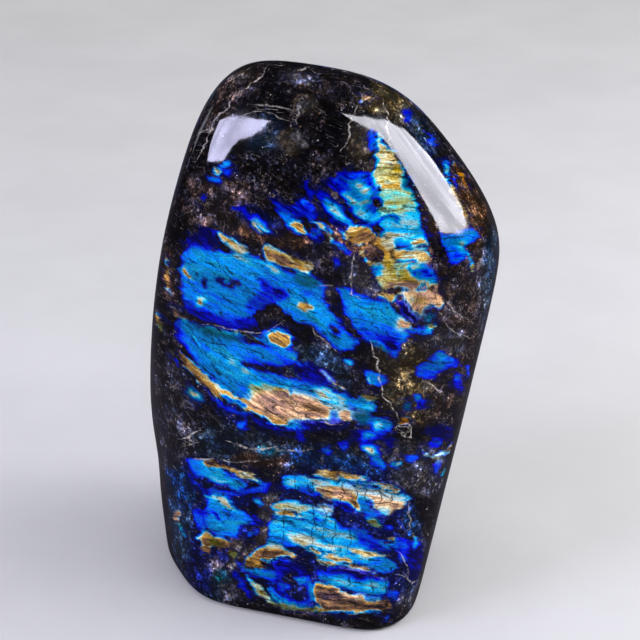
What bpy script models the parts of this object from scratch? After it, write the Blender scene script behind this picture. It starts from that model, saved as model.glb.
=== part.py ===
"""A labradorite freeform: one stone, ground to broad flats, rounded over and polished.

It stands upright on a flat sawn base. Metres, +Z up. The broad face that shows its colour looks
along -Y, and the origin is on the base, under the middle of the stone.
"""

import math

import bmesh
import bpy
import numpy as np
from mathutils import Vector

# The stone as it was roughed out: a block a little larger than the finished form.
BLOCK_WIDTH = 0.126
BLOCK_DEPTH = 0.078
BLOCK_HEIGHT = 0.200
# The faces of the finished mesh are about this long on each side.
CELL = 0.0062

# The ground flats: the way each one faces (degrees round from the front, to the right), its
# tilt (degrees above level), and its distance from the heart of the stone.
HEART = (0.0, 0.0, 0.100)
FLATS = {
    "broad_front": (0, 5.5, 0.0342),
    "front_brow": (-2, 32, 0.0611),
    "front_left_side": (-48, -3, 0.0586),
    "front_left_shoulder": (-46, 28, 0.0718),
    "left_side": (-84, 11.5, 0.0588),
    "left_foot": (-84, -6.5, 0.0714),
    "left_shoulder": (-86, 19, 0.0714),
    "left_crest": (-88, 48.5, 0.0901),
    "crown": (20, 86.5, 0.0994),
    "crown_right": (85, 76.5, 0.1003),
    "right_bevel": (98, 39.5, 0.0766),
    "right_front_bevel": (48, 32, 0.0673),
    "front_right_side": (50, 1, 0.0555),
    "right_side": (97, -10.5, 0.0598),
    "crown_back": (178, 56, 0.0838),
    "back": (180, 4, 0.0345),
    "back_left": (-135, 2, 0.0570),
    "back_right": (138, -4, 0.0550),
}
# How softly the polishing rounded the edges between the flats.
EDGE_SOFTNESS = 0.0040

# Shallow hollows: middle, depth at the middle, and spread.
HOLLOWS = {
    "left_waist": ((-0.063, -0.012, 0.040), 0.0009, 0.013),
}

# The sawn base and its rounded rim.
RIM_RADIUS = 0.0030
RIM_SEGMENTS = 3
RIM_ANGLE = 50

# Rays that find the surface start on the stone's middle line, which stops this far up.
MIDDLE_LINE_TOP = 0.140
NEWTON_STEPS = 40
# A ray always nears the surface at least this fast, and lengths under TINY count as none.
LEAST_SLOPE = 0.05
TINY = 1e-9

STONE_COLOUR = (0.012, 0.030, 0.085, 1.0)
STONE_ROUGHNESS = 0.12


def clear_scene():
    for thing in list(bpy.data.objects):
        bpy.data.objects.remove(thing)


def flat_normals_and_distances():
    """Each flat's outward normal, and its distance from the origin along it."""
    facing, tilt, reach = (np.array(column, float) for column in zip(*FLATS.values()))
    facing = np.radians(facing)
    tilt = np.radians(tilt)
    normals = np.stack(
        [np.sin(facing) * np.cos(tilt), -np.cos(facing) * np.cos(tilt), np.sin(tilt)], axis=1
    )
    return normals, reach + normals @ np.array(HEART)


def ground_surface(starts, ways):
    """The point on the rounded stone along each ray, by Newton's method from outside."""
    normals, distances = flat_normals_and_distances()
    gap = distances - starts @ normals.T
    climb = ways @ normals.T
    lengths = np.full(len(starts), 2 * BLOCK_HEIGHT)
    for _ in range(NEWTON_STEPS):
        over = (lengths[:, None] * climb - gap) / EDGE_SOFTNESS
        peak = over.max(axis=1, keepdims=True)
        weights = np.exp(over - peak)
        total = weights.sum(axis=1, keepdims=True)
        height = EDGE_SOFTNESS * (peak + np.log(total))[:, 0]
        slope = (weights * climb).sum(axis=1) / total[:, 0]
        lengths = lengths - height / np.maximum(slope, LEAST_SLOPE)
    return starts + lengths[:, None] * ways


def worn_hollows(points):
    """Moves each point in towards the middle line where a hollow was ground."""
    inward = -points * np.array([1.0, 1.0, 0.0])
    inward /= np.linalg.norm(inward, axis=1, keepdims=True) + TINY
    moved = points.copy()
    for middle, depth, spread in HOLLOWS.values():
        away = np.linalg.norm(points - np.array(middle), axis=1)
        moved += inward * (depth * np.exp(-((away / spread) ** 2)))[:, None]
    return moved


def rough_block():
    """A block of square cells, standing on z = 0."""
    block = bmesh.new()
    bmesh.ops.create_cube(block, size=1.0)
    size = (BLOCK_WIDTH, BLOCK_DEPTH, BLOCK_HEIGHT)
    bmesh.ops.scale(block, vec=size, verts=block.verts)
    bmesh.ops.translate(block, vec=(0, 0, BLOCK_HEIGHT / 2), verts=block.verts)
    for axis, length in enumerate(size):
        along = [
            edge
            for edge in block.edges
            if abs(edge.verts[0].co[axis] - edge.verts[1].co[axis]) > length / 2
        ]
        cuts = round(length / CELL) - 1
        bmesh.ops.subdivide_edges(block, edges=along, cuts=cuts, use_grid_fill=True)
    return block


def grind(block):
    """Moves the block's skin onto the ground and polished form, and centres it."""
    corners = np.array([vert.co for vert in block.verts])
    on_base = corners[:, 2] < TINY
    starts = np.zeros_like(corners)
    starts[:, 2] = np.minimum(corners[:, 2], MIDDLE_LINE_TOP)
    ways = corners - starts
    # A base cell keeps its share of the way from the middle of the base to its rim.
    share = np.maximum(
        np.abs(corners[:, 0]) / (BLOCK_WIDTH / 2), np.abs(corners[:, 1]) / (BLOCK_DEPTH / 2)
    )
    lengths = np.linalg.norm(ways, axis=1)
    middle = lengths < TINY
    ways[middle] = (1.0, 0.0, 0.0)
    lengths[middle] = 1.0
    ways /= lengths[:, None]
    surface = worn_hollows(ground_surface(starts, ways))
    surface[on_base] *= share[on_base][:, None]
    surface[on_base, 2] = 0.0
    surface[:, :2] -= (surface[:, :2].min(axis=0) + surface[:, :2].max(axis=0)) / 2
    for vert, place in zip(block.verts, surface):
        vert.co = Vector(place)


def polished_stone_material():
    material = bpy.data.materials.new("polished_labradorite")
    material.use_nodes = True
    shader = material.node_tree.nodes["Principled BSDF"]
    shader.inputs["Base Color"].default_value = STONE_COLOUR
    shader.inputs["Roughness"].default_value = STONE_ROUGHNESS
    shader.inputs["Metallic"].default_value = 0.0
    return material


def make_stone(collection):
    block = rough_block()
    grind(block)
    mesh = bpy.data.meshes.new("stone")
    block.to_mesh(mesh)
    block.free()
    mesh.shade_smooth()
    mesh.materials.append(polished_stone_material())
    stone = bpy.data.objects.new("stone", mesh)
    collection.objects.link(stone)
    rim = stone.modifiers.new("base_rim", "BEVEL")
    rim.width = RIM_RADIUS
    rim.segments = RIM_SEGMENTS
    rim.limit_method = "ANGLE"
    rim.angle_limit = math.radians(RIM_ANGLE)
    return stone


def main():
    clear_scene()
    collection = bpy.data.collections.new("labradorite_freeform")
    bpy.context.scene.collection.children.link(collection)
    make_stone(collection)


main()
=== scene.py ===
"""The labradorite freeform: one polished stone with blue, aqua and gold flash, on a pale table."""

import math

import bpy
import numpy as np
from mathutils import Matrix, Vector, noise


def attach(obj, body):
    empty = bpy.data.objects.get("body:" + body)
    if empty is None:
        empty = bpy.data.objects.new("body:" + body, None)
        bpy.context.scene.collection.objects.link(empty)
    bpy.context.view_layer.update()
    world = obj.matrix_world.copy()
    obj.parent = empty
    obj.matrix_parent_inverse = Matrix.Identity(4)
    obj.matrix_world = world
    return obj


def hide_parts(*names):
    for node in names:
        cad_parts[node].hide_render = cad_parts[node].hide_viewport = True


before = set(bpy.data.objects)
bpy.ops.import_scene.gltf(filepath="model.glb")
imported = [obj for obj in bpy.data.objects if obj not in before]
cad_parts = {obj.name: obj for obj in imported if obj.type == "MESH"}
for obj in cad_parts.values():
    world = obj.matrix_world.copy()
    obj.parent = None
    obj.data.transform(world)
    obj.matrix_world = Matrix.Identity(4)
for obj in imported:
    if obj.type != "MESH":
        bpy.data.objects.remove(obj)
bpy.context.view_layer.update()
bpy.ops.object.select_all(action="DESELECT")

# The camera. It stands a little to the right of the stone's broad front and looks down on it,
# as the photo does. The stone's markings are placed by where they show from here.
CAMERA_BEARING = math.radians(18)
CAMERA_ELEVATION = math.radians(26)
CAMERA_DISTANCE = 0.640
CAMERA_LENS = 100.0
CAMERA_SENSOR = 36.0
LOOKED_AT = Vector((0.002, 0.0, 0.1015))
PHOTO_SIZE = 640


def bearing_direction(bearing, elevation):
    """The way from the stone to something at a bearing from its front and an elevation."""
    level = math.cos(elevation)
    return Vector((math.sin(bearing) * level, -math.cos(bearing) * level, math.sin(elevation)))


camera_back = bearing_direction(CAMERA_BEARING, CAMERA_ELEVATION)
camera_place = LOOKED_AT + camera_back * CAMERA_DISTANCE
bpy.ops.object.camera_add(location=camera_place)
camera = bpy.context.object
camera.name = "camera"
camera.rotation_euler = (-camera_back).to_track_quat("-Z", "Y").to_euler()
camera.data.lens = CAMERA_LENS
camera.data.sensor_width = CAMERA_SENSOR
bpy.context.scene.camera = camera

# The stone's form. The real piece is one block of labradorite, sawn flat underneath, ground to
# broad flats on wheels, and rounded over and polished until no edge is left. The flats are the
# model's own, given by the way each faces (degrees round from the front, to the right), its
# tilt (degrees above level) and its distance from the heart of the stone.
BLOCK_SIZE = (0.126, 0.078, 0.200)
BLOCK_CUTS = (49, 15, 77)
HEART = (0.0, 0.0, 0.100)
FLATS = {
    "broad_front": (0, 5.5, 0.0342),
    "front_brow": (-2, 32, 0.0611),
    "front_left_side": (-48, -3, 0.0586),
    "front_left_shoulder": (-46, 28, 0.0718),
    "left_side": (-84, 11.5, 0.0588),
    "left_foot": (-84, -6.5, 0.0714),
    "left_shoulder": (-86, 19, 0.0714),
    "left_crest": (-88, 48.5, 0.0901),
    "crown": (20, 86.5, 0.0994),
    "crown_right": (85, 76.5, 0.1003),
    "right_bevel": (98, 39.5, 0.0766),
    "right_front_bevel": (48, 32, 0.0673),
    "front_right_side": (50, 1, 0.0555),
    "right_side": (97, -10.5, 0.0598),
    "crown_back": (178, 56, 0.0838),
    "back": (180, 4, 0.0345),
    "back_left": (-135, 2, 0.0570),
    "back_right": (138, -4, 0.0550),
}
EDGE_SOFTNESS = 0.0040
LEFT_WAIST = Vector((-0.063, -0.012, 0.040))
LEFT_WAIST_DEPTH = 0.0009
LEFT_WAIST_SPREAD = 0.013
RIM_RADIUS = 0.0030
MIDDLE_LINE_TOP = 0.140
NEWTON_STEPS = 40
LEAST_SLOPE = 0.05
TINY = 1e-9
# Hand polishing leaves the flats very slightly wavy, but not right at the base.
WAVE_HEIGHT = 0.00009
WAVE_LENGTH = 0.026
WAVES_FULL_FROM = 0.01
# The faces that look this squarely to the front are cut once more, for the finest markings.
SQUARELY_FRONT = -0.9

bpy.ops.mesh.primitive_cube_add(size=1.0, location=(0, 0, BLOCK_SIZE[2] / 2), scale=BLOCK_SIZE)
stone = bpy.context.object
stone.name = "labradorite_stone"
bpy.ops.object.transform_apply(location=True, rotation=True, scale=True)
for axis in range(3):
    bpy.ops.object.mode_set(mode="EDIT")
    bpy.ops.mesh.select_all(action="DESELECT")
    bpy.ops.object.mode_set(mode="OBJECT")
    points = stone.data.vertices
    for edge in stone.data.edges:
        run = points[edge.vertices[0]].co[axis] - points[edge.vertices[1]].co[axis]
        edge.select = abs(run) > BLOCK_SIZE[axis] / 2
    bpy.ops.object.mode_set(mode="EDIT")
    bpy.ops.mesh.select_mode(type="EDGE")
    bpy.ops.mesh.subdivide(number_cuts=BLOCK_CUTS[axis])
bpy.ops.mesh.select_all(action="SELECT")
bpy.ops.mesh.subdivide(number_cuts=1)
bpy.ops.mesh.select_mode(type="FACE")
bpy.ops.mesh.select_all(action="DESELECT")
bpy.ops.object.mode_set(mode="OBJECT")
front_faces = np.zeros(len(stone.data.polygons), bool)
for index, face in enumerate(stone.data.polygons):
    front_faces[index] = face.normal.y < SQUARELY_FRONT
stone.data.polygons.foreach_set("select", front_faces)
bpy.ops.object.mode_set(mode="EDIT")
bpy.ops.mesh.subdivide(number_cuts=1)
bpy.ops.object.mode_set(mode="OBJECT")


def flat_normals_and_reaches():
    facing, tilt, reach = (np.array(column, float) for column in zip(*FLATS.values()))
    facing = np.radians(facing)
    tilt = np.radians(tilt)
    level = np.cos(tilt)
    normals = np.stack([np.sin(facing) * level, -np.cos(facing) * level, np.sin(tilt)], axis=1)
    return normals, reach + normals @ np.array(HEART)


def pull_of_flats(over):
    """How much each flat counts at a point, from how far over each flat the point is."""
    weights = np.exp(over - over.max(axis=1, keepdims=True))
    return weights / weights.sum(axis=1, keepdims=True)


def ground_surface(starts, ways):
    """The point on the rounded stone along each ray, by Newton's method from outside."""
    normals, reaches = flat_normals_and_reaches()
    gap = reaches - starts @ normals.T
    climb = ways @ normals.T
    lengths = np.full(len(starts), 2 * BLOCK_SIZE[2])
    for _ in range(NEWTON_STEPS):
        over = (lengths[:, None] * climb - gap) / EDGE_SOFTNESS
        peak = over.max(axis=1)
        height = EDGE_SOFTNESS * (peak + np.log(np.exp(over - peak[:, None]).sum(axis=1)))
        slope = (pull_of_flats(over) * climb).sum(axis=1)
        lengths = lengths - height / np.maximum(slope, LEAST_SLOPE)
    return starts + lengths[:, None] * ways


def vertex_array(piece):
    flat = np.empty(len(piece.data.vertices) * 3)
    piece.data.vertices.foreach_get("co", flat)
    return flat.reshape(-1, 3)


corners = vertex_array(stone)
on_base = corners[:, 2] < TINY
# The lowest rows of the block follow the rim's quarter round instead of standing upright.
arc = np.clip(corners[:, 2] / RIM_RADIUS, 0, math.pi / 2)
quarter = RIM_RADIUS * math.pi / 2
upright = RIM_RADIUS + (corners[:, 2] - quarter) * (BLOCK_SIZE[2] - RIM_RADIUS) / (
    BLOCK_SIZE[2] - quarter
)
heights = np.where(corners[:, 2] < quarter, RIM_RADIUS * (1 - np.cos(arc)), upright)
rim_inset = RIM_RADIUS * (1 - np.sin(arc))
places = corners.copy()
places[:, 2] = heights
starts = np.zeros_like(places)
starts[:, 2] = np.minimum(places[:, 2], MIDDLE_LINE_TOP)
ways = places - starts
share = np.maximum(
    np.abs(corners[:, 0]) / (BLOCK_SIZE[0] / 2), np.abs(corners[:, 1]) / (BLOCK_SIZE[1] / 2)
)
lengths = np.linalg.norm(ways, axis=1)
middle = lengths < TINY
ways[middle] = (1.0, 0.0, 0.0)
lengths[middle] = 1.0
ways /= lengths[:, None]
surface = ground_surface(starts, ways)
level_ways = ways * (1, 1, 0)
level_ways /= np.linalg.norm(level_ways, axis=1, keepdims=True) + TINY
waist = LEFT_WAIST_DEPTH * np.exp(
    -(np.linalg.norm(surface - np.array(LEFT_WAIST), axis=1) / LEFT_WAIST_SPREAD) ** 2
)
surface -= level_ways * (waist + rim_inset)[:, None]
surface[on_base] *= share[on_base][:, None]
surface[on_base, 2] = 0.0
surface[:, :2] -= (surface[:, :2].min(axis=0) + surface[:, :2].max(axis=0)) / 2
stone.data.vertices.foreach_set("co", surface.ravel())
stone.data.update()
stone.data.shade_smooth()


def point_normals(piece):
    flat = np.empty(len(piece.data.vertices) * 3)
    piece.data.vertex_normals.foreach_get("vector", flat)
    return flat.reshape(-1, 3)


normals = point_normals(stone)
waves = np.array([noise.noise(Vector(point) / WAVE_LENGTH) for point in surface])
lift = np.clip(surface[:, 2] / WAVES_FULL_FROM, 0, 1) * WAVE_HEIGHT * waves
surface += normals * lift[:, None]
stone.data.vertices.foreach_set("co", surface.ravel())
stone.data.update()

# The markings. Light splits in thin layers under the polish and comes back blue, aqua and gold,
# in bands and chips that lie along the crystal's layers, with dark rock between them. They are
# painted on the skin's points. Outlines are in the photo's pixels, about 0.36 mm each on the
# front, and the sides and back carry the same kinds of band, turned upside down and sparser.
# As on oil, the colours come in one order, from deep blue through aqua to gold and copper. Each tint has
# its place in that order, and a colour that may be a little off it. The last six are for stains in the
# dark rock, where only the colour counts, and taupe also paints a reflection at the crown.
TINTS = {
    "navy": (-0.20, (8, 16, 64)),
    "slate": (-0.20, (64, 64, 74)),
    "night": (0.00, (0, 0, 60)),
    "ultra": (0.11, (0, 8, 196)),
    "cobalt": (0.22, (0, 70, 214)),
    "teal": (0.30, (0, 84, 108)),
    "azure": (0.34, (0, 122, 208)),
    "sky": (0.44, (2, 144, 214)),
    "aqua": (0.54, (26, 190, 230)),
    "foam": (0.64, (158, 208, 214)),
    "pearl": (0.66, (204, 226, 228)),
    "sage": (0.68, (150, 185, 140)),
    "cream": (0.73, (212, 198, 142)),
    "straw": (0.76, (198, 184, 105)),
    "olive": (0.80, (104, 102, 34)),
    "gold": (0.82, (206, 154, 48)),
    "peach": (0.85, (230, 178, 138)),
    "amber": (0.88, (160, 98, 20)),
    "mauve": (0.90, (120, 92, 98)),
    "copper": (0.91, (160, 116, 76)),
    "russet": (0.96, (94, 70, 54)),
    "umber": (1.00, (66, 48, 34)),
    "black": (0.00, (20, 18, 22)),
    "dusk": (0.00, (30, 48, 68)),
    "plum": (0.00, (46, 39, 40)),
    "taupe": (0.00, (82, 76, 68)),
    "moss": (0.00, (74, 66, 44)),
    "marine": (0.00, (10, 44, 92)),
}
IN_ORDER = (
    "night", "ultra", "cobalt", "azure", "sky", "aqua", "foam", "cream", "gold", "copper", "umber",
)
# The front's markings end where the skin turns this far from the camera, with a dark strip there.
FRONT_SHOWS = 0.20
TURN_FADE = 0.07
FOOT_FADE = 0.006
FADED = 8
BACK_PIXEL = 0.00052
LEAST_RADIUS = 0.03
BACK_MIDDLE = 320
BACK_FOOT_ROW = 45
BACK_ROWS_PER_METRE = 2900
BACK_THINNING = 3.0
# How far round a mark its points are looked for, and the softness of a rim, in pixels.
REACH = 12
FAR_OUTSIDE = -12.0
FLASH_SOFTNESS = 4.2
STREAK_SOFTNESS = 2.2
ROUTE_STEPS = 4
# Outlines are shaken a little by noise, more so along the layers. This noise starts from the
# clock unless it is given a seed, and the seed makes each run the same.
RAGGED = 2.2
RAGGED_ALONG = 1.6
RAGGED_LENGTH = 7.0
RAGGED_STRETCH = 2.5
RAGGED_LEVEL = 7.3
RAGGED_OCTAVES = 3
RAGGED_SEED = 7
# A hairline is drawn near its route, fades over its last pixels, and tapers to its ends.
HAIRLINE_REACH = 6
HAIRLINE_END = 5
HAIRLINE_FADE = 2
HAIRLINE_TAPER = 0.55
NO_HAIRLINE = (9.0, 0.0, 1.0)
FAR = 1e3


def linear_colour(tint):
    """A named tint, from sRGB bytes to the linear values that shaders take."""
    channels = np.array(TINTS[tint][1]) / 255
    return np.where(channels < 0.04045, channels / 12.92, ((channels + 0.055) / 1.055) ** 2.4)


def off_order(tint):
    """A tint's light against the colour at its place in the order, and what is left over."""
    order_places = [TINTS[name][0] for name in IN_ORDER]
    channels = np.array([linear_colour(name) for name in IN_ORDER]).T
    here = np.array([np.interp(TINTS[tint][0], order_places, channel) for channel in channels])
    light = min(linear_colour(tint).sum() / here.sum(), 1.0)
    return light, linear_colour(tint) - here * light


normals = point_normals(stone)
right = Vector((0, 0, 1)).cross(camera_back).normalized()
up = camera_back.cross(right)
from_camera = surface - np.array(camera_place)
depth = from_camera @ -np.array(camera_back)
focal = CAMERA_LENS / CAMERA_SENSOR * PHOTO_SIZE
sight_x = PHOTO_SIZE / 2 + focal * (from_camera @ np.array(right)) / depth
sight_y = PHOTO_SIZE / 2 - focal * (from_camera @ np.array(up)) / depth
to_camera = -from_camera / np.linalg.norm(from_camera, axis=1, keepdims=True)
facing_camera = (normals * to_camera).sum(axis=1)
# Round the sides and back the bands follow the way round the stone, upside down.
round_bearing = np.arctan2(surface[:, 0], -surface[:, 1]) - CAMERA_BEARING - math.pi
round_bearing = (round_bearing + math.pi) % (2 * math.pi) - math.pi
way_round = round_bearing * np.hypot(surface[:, 0], surface[:, 1]).clip(LEAST_RADIUS) / BACK_PIXEL
turned = facing_camera < FRONT_SHOWS
sight_x[turned] = (BACK_MIDDLE - way_round)[turned]
sight_y[turned] = (BACK_FOOT_ROW + surface[:, 2] * BACK_ROWS_PER_METRE)[turned]



def shake(x, y):
    spot = Vector((x / RAGGED_LENGTH / RAGGED_STRETCH, y / RAGGED_LENGTH, RAGGED_LEVEL))
    return noise.turbulence_vector(spot, RAGGED_OCTAVES, False)


noise.seed_set(RAGGED_SEED)
ragged = np.array([shake(x, y) for x, y in zip(sight_x, sight_y)])
paint_x = sight_x + ragged[:, 0] * RAGGED * RAGGED_ALONG
paint_y = sight_y + ragged[:, 1] * RAGGED

flash_edge = np.full(len(surface), FAR_OUTSIDE)
flash_order = np.zeros(len(surface))
flash_light = np.ones(len(surface))
flash_shift = np.zeros((len(surface), 3))
ground_tint = np.tile(linear_colour("black"), (len(surface), 1))
veins = np.tile(NO_HAIRLINE, (len(surface), 1))
vein_reach = np.full(len(surface), FAR)
cracks = np.tile(NO_HAIRLINE, (len(surface), 1))
crack_reach = np.full(len(surface), FAR)


def smooth_route(points, closed):
    """Points on a Catmull-Rom curve through the given ones."""
    given = np.array(points, float)
    if closed:
        given = np.vstack([given[-1], given, given[0], given[1]])
    else:
        given = np.vstack([2 * given[0] - given[1], given, 2 * given[-1] - given[-2]])
    share = np.arange(ROUTE_STEPS)[:, None] / ROUTE_STEPS
    runs = []
    for before, start, end, after in zip(given, given[1:], given[2:], given[3:]):
        bend = 2 * before - 5 * start + 4 * end - after
        twist = 3 * start - before - 3 * end + after
        runs.append(start + (end - before) * share / 2 + bend * share**2 / 2 + twist * share**3 / 2)
    if not closed:
        runs.append(given[-2][None])
    return np.vstack(runs)


def points_near(route, reach):
    """The indices of the points round a route."""
    low = route.min(axis=0) - reach
    high = route.max(axis=0) + reach
    across = (paint_x > low[0]) & (paint_x < high[0])
    return np.nonzero(across & (paint_y > low[1]) & (paint_y < high[1]))[0]


def nearest_on(x, y, start, end):
    """How far along a straight piece of a route the nearest place is, and the way to it."""
    run_x, run_y = end - start
    along = ((x - start[0]) * run_x + (y - start[1]) * run_y) / (run_x**2 + run_y**2 + TINY)
    along = along.clip(0, 1)
    return along, x - start[0] - along * run_x, y - start[1] - along * run_y


def distance_inside(route, near):
    """How far inside a closed outline each point is, less than nothing outside it."""
    x = paint_x[near]
    y = paint_y[near]
    nearest = np.full(len(near), FAR)
    inside = np.zeros(len(near), bool)
    for start, end in zip(route, np.roll(route, -1, axis=0)):
        _, away_x, away_y = nearest_on(x, y, start, end)
        nearest = np.minimum(nearest, np.hypot(away_x, away_y))
        run_x, run_y = end - start
        crossed = (start[1] > y) != (end[1] > y)
        inside ^= crossed & (x < start[0] + (y - start[1]) * run_x / (run_y + TINY))
    return nearest * np.where(inside, 1, -1)


def distance_along(route, near):
    """The signed distance of each point from an open route, and its share of the way along."""
    x = paint_x[near]
    y = paint_y[near]
    nearest = np.full(len(near), FAR)
    signed = np.full(len(near), FAR)
    share = np.zeros(len(near))
    for step, (start, end) in enumerate(zip(route, route[1:])):
        along, away_x, away_y = nearest_on(x, y, start, end)
        run_x, run_y = end - start
        gap = np.hypot(away_x, away_y)
        side = np.sign((y - start[1]) * run_x - (x - start[0]) * run_y)
        closer = gap < nearest
        nearest[closer] = gap[closer]
        signed[closer] = (gap * side)[closer]
        share[closer] = ((step + along) / (len(route) - 1))[closer]
    return signed, share


def soft_step(inside, soft):
    """From 0 to 1 across a soft rim."""
    share = ((inside + soft) / (2 * soft)).clip(0, 1)
    return share * share * (3 - 2 * share)


def patch_inside(outline, reach=REACH):
    """The points near a closed outline, and how far inside it each one is."""
    route = smooth_route(outline, closed=True)
    near = points_near(route, reach)
    return near, distance_inside(route, near)


def stroke_inside(width, outline):
    """The points near a stroke that is widest in its middle, and how far inside each one is."""
    route = smooth_route(outline, closed=False)
    near = points_near(route, REACH)
    signed, share = distance_along(route, near)
    half_width = width / 2 * (1 - np.abs(2 * share - 1) ** 3)
    return near, half_width - np.abs(signed)


def lay_flash(near, inside, tint, soft):
    """Lays a tint over what is there, and widens the flash by it."""
    bare = (flash_edge[near] < -soft) & (inside > flash_edge[near])
    cover = np.where(bare, 1.0, soft_step(inside, soft))
    light, shift = off_order(tint)
    flash_order[near] += (TINTS[tint][0] - flash_order[near]) * cover
    flash_light[near] += (light - flash_light[near]) * cover
    flash_shift[near] += (shift - flash_shift[near]) * cover[:, None]
    flash_edge[near] = np.maximum(flash_edge[near], inside)


# Each call below starts with the mark's name, which only says what it is.
def flash(name, tint, *outline, soft=FLASH_SOFTNESS):
    """A patch of colour with a closed outline."""
    lay_flash(*patch_inside(outline), tint, soft)


def streak(name, tint, width, *outline, soft=STREAK_SOFTNESS):
    """A flash that is a stroke."""
    lay_flash(*stroke_inside(width, outline), tint, soft)


def dark(name, *outline):
    """A patch of rock that shows no colour."""
    near, inside = patch_inside(outline)
    flash_edge[near] = np.minimum(flash_edge[near], -inside)


def seam(name, width, *outline):
    """A stroke of dark rock."""
    near, inside = stroke_inside(width, outline)
    flash_edge[near] = np.minimum(flash_edge[near], -inside)


def tinge(name, tint, *outline, soft=6, strength=1.0):
    """A soft patch of colour in the dark rock: mostly stains, and two painted reflections at the crown.
    """
    near, inside = patch_inside(outline, 2 * soft)
    cover = (soft_step(inside, soft) * strength)[:, None]
    ground_tint[near] += (linear_colour(tint) - ground_tint[near]) * cover


def hairline(lines, reach, brightness, width, outline):
    """Draws a line where it is nearer than those already drawn."""
    route = smooth_route(outline, closed=False)
    near = points_near(route, HAIRLINE_REACH)
    signed, share = distance_along(route, near)
    closer = np.abs(signed) < reach[near]
    near = near[closer]
    gap = np.abs(signed[closer])
    taper = 1 - HAIRLINE_TAPER + HAIRLINE_TAPER * np.sin(share[closer] * math.pi)
    reach[near] = gap
    lines[near, 0] = signed[closer]
    lines[near, 1] = brightness * ((HAIRLINE_END - gap) / HAIRLINE_FADE).clip(0, 1)
    lines[near, 2] = width * taper


def vein(name, brightness, width, *outline):
    """A pale healed crack."""
    hairline(veins, vein_reach, brightness, width, outline)


def crack(name, width, *outline):
    """A thin dark parting."""
    hairline(cracks, crack_reach, 1.0, width, outline)


# The dark rock's stains: grey, brown and plum between the flashes, dusky blue in places. Two grey patches
# at the crown are painted reflections, not stains.
tinge("top_dusk", "dusk", (252, 122), (276, 118), (278, 140), (258, 150), (248, 142), soft=9)
tinge("top_left_plum", "plum", (205, 110), (232, 72), (262, 70), (245, 100), (222, 130), soft=10)
# Painted reflection: a grey patch where a lamp shows in the polish at the crown's left.
tinge("crown_left_painted_reflection", "taupe", (230, 80), (240, 73), (252, 71), (248, 76), (238, 81), soft=4)
tinge("top_grey", "taupe", (296, 100), (304, 96), (315, 99), (314, 108), (304, 112), soft=5)
tinge("top_middle_plum", "plum", (270, 78), (340, 74), (350, 95), (300, 100), soft=12, strength=0.3)
# Painted reflection: a grey patch where a lamp shows in the polish at the middle of the crown.
tinge("crown_middle_painted_reflection", "slate", (282, 74), (300, 72), (322, 79), (318, 84), (294, 82), soft=5)
tinge("brow_grey", "taupe", (280, 134), (300, 133), (305, 145), (292, 153), (281, 150), soft=6)
tinge("brow_hair_grey", "taupe", (347, 132), (366, 126), (372, 150), (354, 162), soft=7, strength=0.7)
tinge("brow_gold", "moss", (375, 86), (412, 88), (418, 118), (392, 116), soft=8)
tinge("right_strip_teal", "dusk", (404, 112), (424, 120), (434, 150), (420, 150), soft=8)
tinge("right_edge_brown", "umber", (455, 175), (482, 195), (492, 240), (470, 262), soft=9)
tinge("crescent_foot_brown", "umber", (420, 196), (428, 205), (438, 232), (428, 238), soft=5)
tinge("upper_left_plum", "plum", (195, 175), (235, 180), (262, 205), (225, 225), (190, 220), soft=12)
tinge("above_left_band", "umber", (240, 228), (305, 235), (300, 246), (252, 240), soft=7)
tinge("centre_brown", "umber", (336, 228), (380, 243), (378, 262), (350, 256), soft=6)
tinge("centre_haze", "slate", (350, 255), (388, 262), (384, 296), (352, 294), soft=9)
tinge("right_haze", "plum", (430, 268), (490, 262), (484, 345), (440, 340), soft=12)
tinge("right_brown", "plum", (395, 338), (470, 335), (465, 410), (400, 415), soft=14)
tinge("right_moss", "moss", (384, 345), (425, 342), (424, 415), (392, 412), (378, 375), soft=12,
    strength=0.8)
tinge("right_grey", "slate", (425, 335), (460, 332), (462, 352), (430, 356), soft=8)
tinge("right_rim_dusk", "dusk", (484, 240), (503, 236), (500, 310), (484, 330), soft=8)
tinge("left_rim_brown", "umber", (163, 250), (172, 262), (174, 300), (166, 298), soft=5)
tinge("left_foot_mauve", "slate", (163, 362), (186, 372), (192, 470), (164, 474), soft=9, strength=0.5)
tinge("left_low_dusk", "dusk", (164, 476), (190, 480), (196, 560), (172, 560), soft=9)
tinge("valley_teal", "dusk", (300, 350), (335, 355), (345, 390), (300, 388), soft=10)
tinge("low_left_dusk", "dusk", (205, 425), (270, 435), (262, 465), (200, 455), soft=10, strength=0.6)
tinge("low_dusk", "dusk", (290, 440), (380, 448), (380, 470), (290, 468), soft=8, strength=0.5)
tinge("low_right_dusk", "slate", (385, 448), (450, 455), (446, 490), (400, 488), soft=9)
tinge("foot_right_grey", "slate", (392, 540), (425, 545), (420, 600), (388, 600), soft=9)
tinge(
    "foot_right_marine", "marine", (394, 504), (414, 506), (420, 560), (410, 592), (392, 585),
    (398, 540), soft=8,
)
tinge("low_marine", "marine", (286, 452), (340, 454), (392, 470), (372, 476), (300, 466), soft=8)
tinge("foot_left_dusk", "dusk", (186, 566), (212, 572), (222, 598), (196, 592), soft=7)
tinge("river_brown", "plum", (258, 498), (276, 500), (262, 545), (232, 572), soft=5)

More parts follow.
